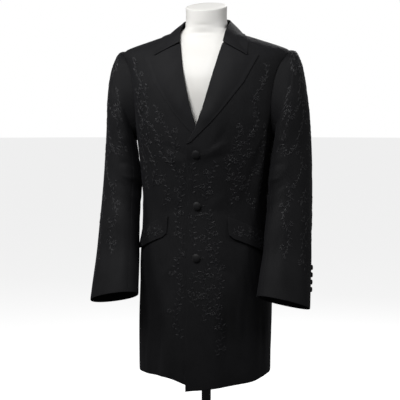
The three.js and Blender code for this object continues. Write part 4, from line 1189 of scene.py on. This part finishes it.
def vine(points, rng):
    """Stem lines and leaves, each (foot, heading, length, width), for one stem on its chart."""
    line, step = curve_through(points)
    heading = np.arctan2(*np.gradient(line, axis=0).T[::-1])
    length = len(line) * step
    stems, leaves = [line], []
    for k, at in enumerate(np.arange(4, length - 3, LEAF_STEP)):
        i = int(at / step)
        turn = (1 if k % 2 else -1) * math.radians(rng.uniform(30, 64))
        leaves.append((line[i], heading[i] + turn, rng.uniform(8, 13.5), rng.uniform(3, 4.6)))
    for k, at in enumerate(np.arange(18, length - 6, ROSETTE_STEP)):
        i = int(at / step)
        way = 1 if k % 2 else -1
        bend = heading[i] + way * math.radians(rng.uniform(50, 75))
        reach = rng.uniform(13, 19)
        f = np.linspace(0, 1, 9)[:, None]
        middle = line[i] + ahead(heading[i] + way * 0.3) * reach * 0.55
        centre = line[i] + ahead(bend) * reach
        stems.append((1 - f) ** 2 * line[i] + 2 * f * (1 - f) * middle + f * f * centre)
        first = rng.uniform(0, 1)
        for petal in range(7):
            angle = first + petal * 2 * math.pi / 7
            leaves.append((centre + ahead(angle) * 1.7, angle, rng.uniform(6, 7.2), 3.9))
        for knot in range(5):
            angle = first + knot * 2 * math.pi / 5
            leaves.append((centre + ahead(angle) * 0.2, angle, 1.9, 1.5))
    for k, at in enumerate(np.arange(38, length - 4, TENDRIL_STEP)):
        i = int(at / step)
        way = -1 if k % 2 else 1
        angle, p, curl = heading[i] + way * 0.5, line[i], [line[i]]
        for n in range(22):
            angle += way * (0.03 + 0.028 * n)
            p = p + ahead(angle) * 1.25
            curl.append(p)
        stems.append(np.array(curl))
    return stems, leaves


# %% [markdown]
# ### Stitching
# The tree below puts one satin-stitched leaf on every marked point. The point carries the leaf's heading,
# the cloth's outward direction and the size, and the leaf itself is a small domed almond with a sunk vein.

# %% Vine trees and pieces
def leaf_source():
    u, v = np.meshgrid(np.linspace(-1, 1, 9), np.array([-1, -0.62, -0.16, 0, 0.16, 0.62, 1]), indexing="ij")
    dome = np.array([0, 0.82, 0.95, 0.5, 0.95, 0.82, 0])
    half = 0.5 * (1 - np.abs(u) ** 1.8) * (1 - 0.22 * u)
    height = dome[None, :] * (1 - u ** 4) ** 0.5
    points = np.stack([0.5 * u, v * half, height], -1).reshape(-1, 3)
    index = np.arange(points.shape[0]).reshape(u.shape)
    faces = np.stack([index[:-1, :-1], index[1:, :-1], index[1:, 1:], index[:-1, 1:]], -1).reshape(-1, 4)
    return mesh_object("leaf_source", points / MM, faces.tolist())


def leaf_tree():
    tree, given, result = tree_with("leaves on marked points", ("Leaf", "NodeSocketObject"),
                                    ("Thread", "NodeSocketMaterial"))
    leaf = add(tree, "GeometryNodeObjectInfo", {"Object": given["Leaf"]})
    turn = add(tree, "FunctionNodeAxesToRotation", {"Primary Axis": vector_attribute(tree, "up"),
                                                    "Secondary Axis": vector_attribute(tree, "heading")},
               primary_axis="Z", secondary_axis="X")
    laid = add(tree, "GeometryNodeInstanceOnPoints", {"Points": given["Geometry"],
                                                      "Instance": leaf.outputs["Geometry"],
                                                      "Rotation": turn.outputs[0],
                                                      "Scale": vector_attribute(tree, "size")})
    real = add(tree, "GeometryNodeRealizeInstances", {"Geometry": laid.outputs[0]})
    painted = add(tree, "GeometryNodeSetMaterial", {"Geometry": real.outputs[0], "Material": given["Thread"]})
    tree.links.new(painted.outputs[0], result["Geometry"])
    return tree


def marked_points(name, chart, clear, leaves):
    foot = np.array([leaf[0] for leaf in leaves])
    angle, length, width = (np.array([leaf[k] for leaf in leaves]) for k in (1, 2, 3))
    tip = foot + np.stack([np.cos(angle), np.sin(angle)], -1) * length[:, None]
    keep = clear(*foot.T) & clear(*tip.T)
    foot, tip, length, width = foot[keep], tip[keep], length[keep], width[keep]
    centre, up = chart(*((foot + tip) / 2).T)
    heading = unit(chart(*tip.T)[0] - chart(*foot.T)[0])
    size = np.stack([length, width, mix(0.45, 0.75, np.clip(width / 4, 0, 1))], -1) * MM
    mesh = bpy.data.meshes.new(name)
    mesh.from_pydata((centre * MM).tolist(), [], [])
    for label, values in (("up", up), ("heading", heading), ("size", size)):
        mesh.attributes.new(label, "FLOAT_VECTOR", "POINT").data.foreach_set("vector", values.ravel())
    obj = bpy.data.objects.new(name, mesh)
    bpy.context.scene.collection.objects.link(obj)
    return obj


STEM_HALF_WIDTH, STEM_HEIGHT = 0.75, 0.55


def stem_mesh(name, chart, clear, stems):
    """A low rounded ridge of satin stitch along every stem, left out where the chart isn't clear."""
    profile = np.array([(-1, -0.1), (-0.62, 0.75), (0, 1), (0.62, 0.75), (1, -0.1)])
    points, faces = [], []
    for line in stems:
        ok = clear(*line.T)
        for run in np.split(np.arange(len(line)), np.flatnonzero(np.diff(ok.astype(int))) + 1):
            if len(run) < 4 or not ok[run[0]]:
                continue
            p, up = chart(*line[run].T)
            along = unit(np.gradient(p, axis=0))
            across = unit(np.cross(up, along))
            place = np.arange(len(run))
            taper = np.minimum(1, np.minimum(place, place[::-1]) / 3 + 0.25)[:, None, None]
            ring = (p[:, None] + across[:, None] * (profile[:, 0][None, :, None] * STEM_HALF_WIDTH * taper)
                    + up[:, None] * (profile[:, 1][None, :, None] * STEM_HEIGHT * taper))
            index = np.arange(ring.shape[0] * 5).reshape(-1, 5) + len(points)
            points.extend(ring.reshape(-1, 3).tolist())
            faces.extend(np.stack([index[:-1, :-1], index[1:, :-1], index[1:, 1:], index[:-1, 1:]], -1)
                         .reshape(-1, 4).tolist())
    return mesh_object(name, points, faces)


leaf = leaf_source()
leaves_on_points = leaf_tree()
vines = {}


def embroider(host, chart, clear, layout, seed):
    """Stitches a layout of stems, in mm on the chart, and files the two new pieces under their host."""
    rng = np.random.default_rng(seed)
    stems, leaves = [], []
    for points in layout:
        more_stems, more_leaves = vine(points, rng)
        stems += more_stems
        leaves += more_leaves
    marks = marked_points(f"marks_{host}", chart, clear, leaves)
    vines[host] = [grown(marks, leaves_on_points, f"vine_leaves_{host}", Leaf=leaf, Thread=satin_thread),
                   stem_mesh(f"vine_stems_{host}", chart, clear, stems)]


def in_mm(stems, scale_s, scale_t):
    return [[(s * scale_s, t * scale_t) for s, t in points] for points in stems]


front_layout = in_mm(FRONT_STEMS, MM_A_DEGREE, 1)


def on_front(side):
    def clear(s, t):
        x = plain_point(np.radians(s / MM_A_DEGREE), t)[..., 0]
        return body_clear(s, t) & ((x > -FRONT_EDGE) == (side > 0))
    return clear


sleeve_layout = in_mm(SLEEVE_STEMS, MM_A_SLEEVE_DEGREE, -SLEEVE_LENGTH)
embroider("front_left", body_chart, on_front(1), front_layout, 11)
embroider("front_right", body_chart, on_front(-1), front_layout, 12)
embroider("top_sleeve_left", sleeve_chart, sleeve_clear, sleeve_layout, 13)
embroider("pocket_flap_left", flap_chart(1), flap_clear, FLAP_STEMS, 14)


def mirrored(chart):
    def other(s, t):
        p, up = chart(s, t)
        return p * (-1, 1, 1), up * (-1, 1, 1)
    return other


embroider("top_sleeve_right", mirrored(sleeve_chart), sleeve_clear, sleeve_layout, 15)
embroider("pocket_flap_right", mirrored(flap_chart(-1)), flap_clear, FLAP_STEMS, 16)
bpy.data.objects.remove(leaf)
print("vine faces:", sum(len(obj.data.polygons) for pair in vines.values() for obj in pair))

# %% [markdown]
# ## Dressing the frame
# Every piece rides on the one body and stands for the solid that it refines. Each sheet of cloth also
# prints the flat size it is cut to, measured along its own threads on the made-up piece.

# %% Pieces, materials and sheets
def dress(obj, material, slot, *nodes):
    obj.data.materials.clear()
    obj.data.materials.append(material)
    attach(obj, "root")
    if nodes:
        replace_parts(obj, *nodes)
    return obj


for word, side in (("left", 1), ("right", -1)):
    dress(fronts[side], body_wool, "cloth", f"front_{word}")
    dress(sides[side], body_wool, "cloth", f"side_body_{word}")
    dress(backs[side], body_wool, "cloth", f"back_{word}")
    dress(top_sleeves[side], body_wool, "cloth", f"top_sleeve_{word}")
    dress(under_sleeves[side], body_wool, "cloth", f"under_sleeve_{word}")
    dress(flaps[side], body_wool, "cloth", f"pocket_flap_{word}")
    dress(lapels[side], facing_wool, "facing_cloth", f"lapel_{word}")
dress(collar_leaf, facing_wool, "facing_cloth", "collar_leaf")
dress(collar_stand, facing_wool, "facing_cloth", "collar_stand")
dress(form, form_gloss, "form", "form_torso")
dress(pole, steel, "stand", "stand_pole")
dress(base, steel, "stand", "stand_base")
for obj, _, _ in buttons + cuff_buttons:
    dress(obj, button_cover, "button")
dress(holes, sewing_thread, "cloth")
for pair in vines.values():
    for obj in pair:
        dress(obj, satin_thread, "cloth")

for name, (width, length, area) in cut_sizes.items():
    print(f"{name}: {width * 1000:.0f} x {length * 1000:.0f} mm, {area:.4f} m2")

# %% [markdown]
# ## Floor, light and camera
# The floor is plain and pale. A wide soft box stands high in front, a narrower one at each side picks out
# the folds, a fourth lights the back, and a pale room fills the shadows. The camera stands three metres
# off, a little above the waist and turned towards the wearer's left.

# %% Stage and lights
ROOM_LIGHT = 0.11  # the room is seen white, and lights the coat less than that
floor_mesh = bpy.data.meshes.new("floor")
bm = bmesh.new()
bmesh.ops.create_circle(bm, cap_ends=True, segments=96, radius=40)
bm.to_mesh(floor_mesh)
bm.free()
floor = bpy.data.objects.new("floor", floor_mesh)
bpy.context.scene.collection.objects.link(floor)
floor_paint, floor_tree, floor_shader = new_material("matt white studio paper", "#f7f7f7", 0.9)
grain = add(floor_tree, "ShaderNodeTexNoise", {"Scale": 30.0})
grain_bump = add(floor_tree, "ShaderNodeBump", {"Height": grain.outputs["Fac"], "Strength": 0.02})
floor_tree.links.new(grain_bump.outputs["Normal"], floor_shader.inputs["Normal"])
floor_shader.inputs["Emission Color"].default_value = (1, 1, 1, 1)
floor_shader.inputs["Emission Strength"].default_value = 0.76
floor_mesh.materials.append(floor_paint)
floor.visible_diffuse = floor.visible_glossy = False  # its own glow would flatten the folds
floor.location.z = -0.0004

world = bpy.data.worlds.new("pale room")
bpy.context.scene.world = world
world.use_nodes = True
background = world.node_tree.nodes["Background"]
background.inputs["Color"].default_value = (1, 1, 1, 1)
seen = add(world.node_tree, "ShaderNodeLightPath").outputs["Is Camera Ray"]
strength = add(world.node_tree, "ShaderNodeMapRange", {"Value": seen, "To Min": ROOM_LIGHT, "To Max": 1.0})
world.node_tree.links.new(strength.outputs["Result"], background.inputs["Strength"])


def soft_box(name, place, aim, size, power):
    light = bpy.data.lights.new(name, "AREA")
    light.shape, light.size, light.size_y, light.energy = "RECTANGLE", size[0], size[1], power
    obj = bpy.data.objects.new(name, light)
    bpy.context.scene.collection.objects.link(obj)
    obj.location = place
    obj.rotation_euler = (Vector(aim) - Vector(place)).to_track_quat("-Z", "Y").to_euler()


soft_box("key above the front", (-0.6, -1.4, 2.6), (0, 0, 1.35), (1.0, 0.8), 38)
soft_box("side box on the wearer's right", (-2.0, -0.6, 2.2), (0, 0, 1.35), (0.4, 1.0), 11)
soft_box("side box on the wearer's left", (2.1, -0.5, 2.2), (0, 0, 1.35), (0.4, 1.0), 14)
soft_box("box behind", (0.5, 2.6, 2.9), (0, 0, 1.1), (1.4, 1.0), 30)
print("lights: 4")

# %% Camera
AZIMUTH, DISTANCE, CAMERA_Z = math.radians(11.5), 3.2, 1.25
AIM_Z, AIM_RIGHT, FRAME_WIDTH = 0.991, -0.0167, 1.06  # the frame's width is measured at the form's axis
SENSOR_WIDTH = 36
camera = bpy.data.cameras.new("camera")
camera_object = bpy.data.objects.new("camera", camera)
bpy.context.scene.collection.objects.link(camera_object)
right = Vector((math.cos(AZIMUTH), math.sin(AZIMUTH), 0))
towards_front = Vector((math.sin(AZIMUTH), -math.cos(AZIMUTH), 0))
camera_object.location = towards_front * DISTANCE + Vector((0, 0, CAMERA_Z))
aim = Vector((0, 0, AIM_Z)) + right * AIM_RIGHT
look = aim - camera_object.location
camera_object.rotation_euler = look.to_track_quat("-Z", "Y").to_euler()
camera.sensor_width = SENSOR_WIDTH
camera.lens = SENSOR_WIDTH * look.length / FRAME_WIDTH
bpy.context.scene.camera = camera_object
bpy.context.scene.view_settings.view_transform = "Standard"
print("lens:", round(camera.lens, 1), "mm")
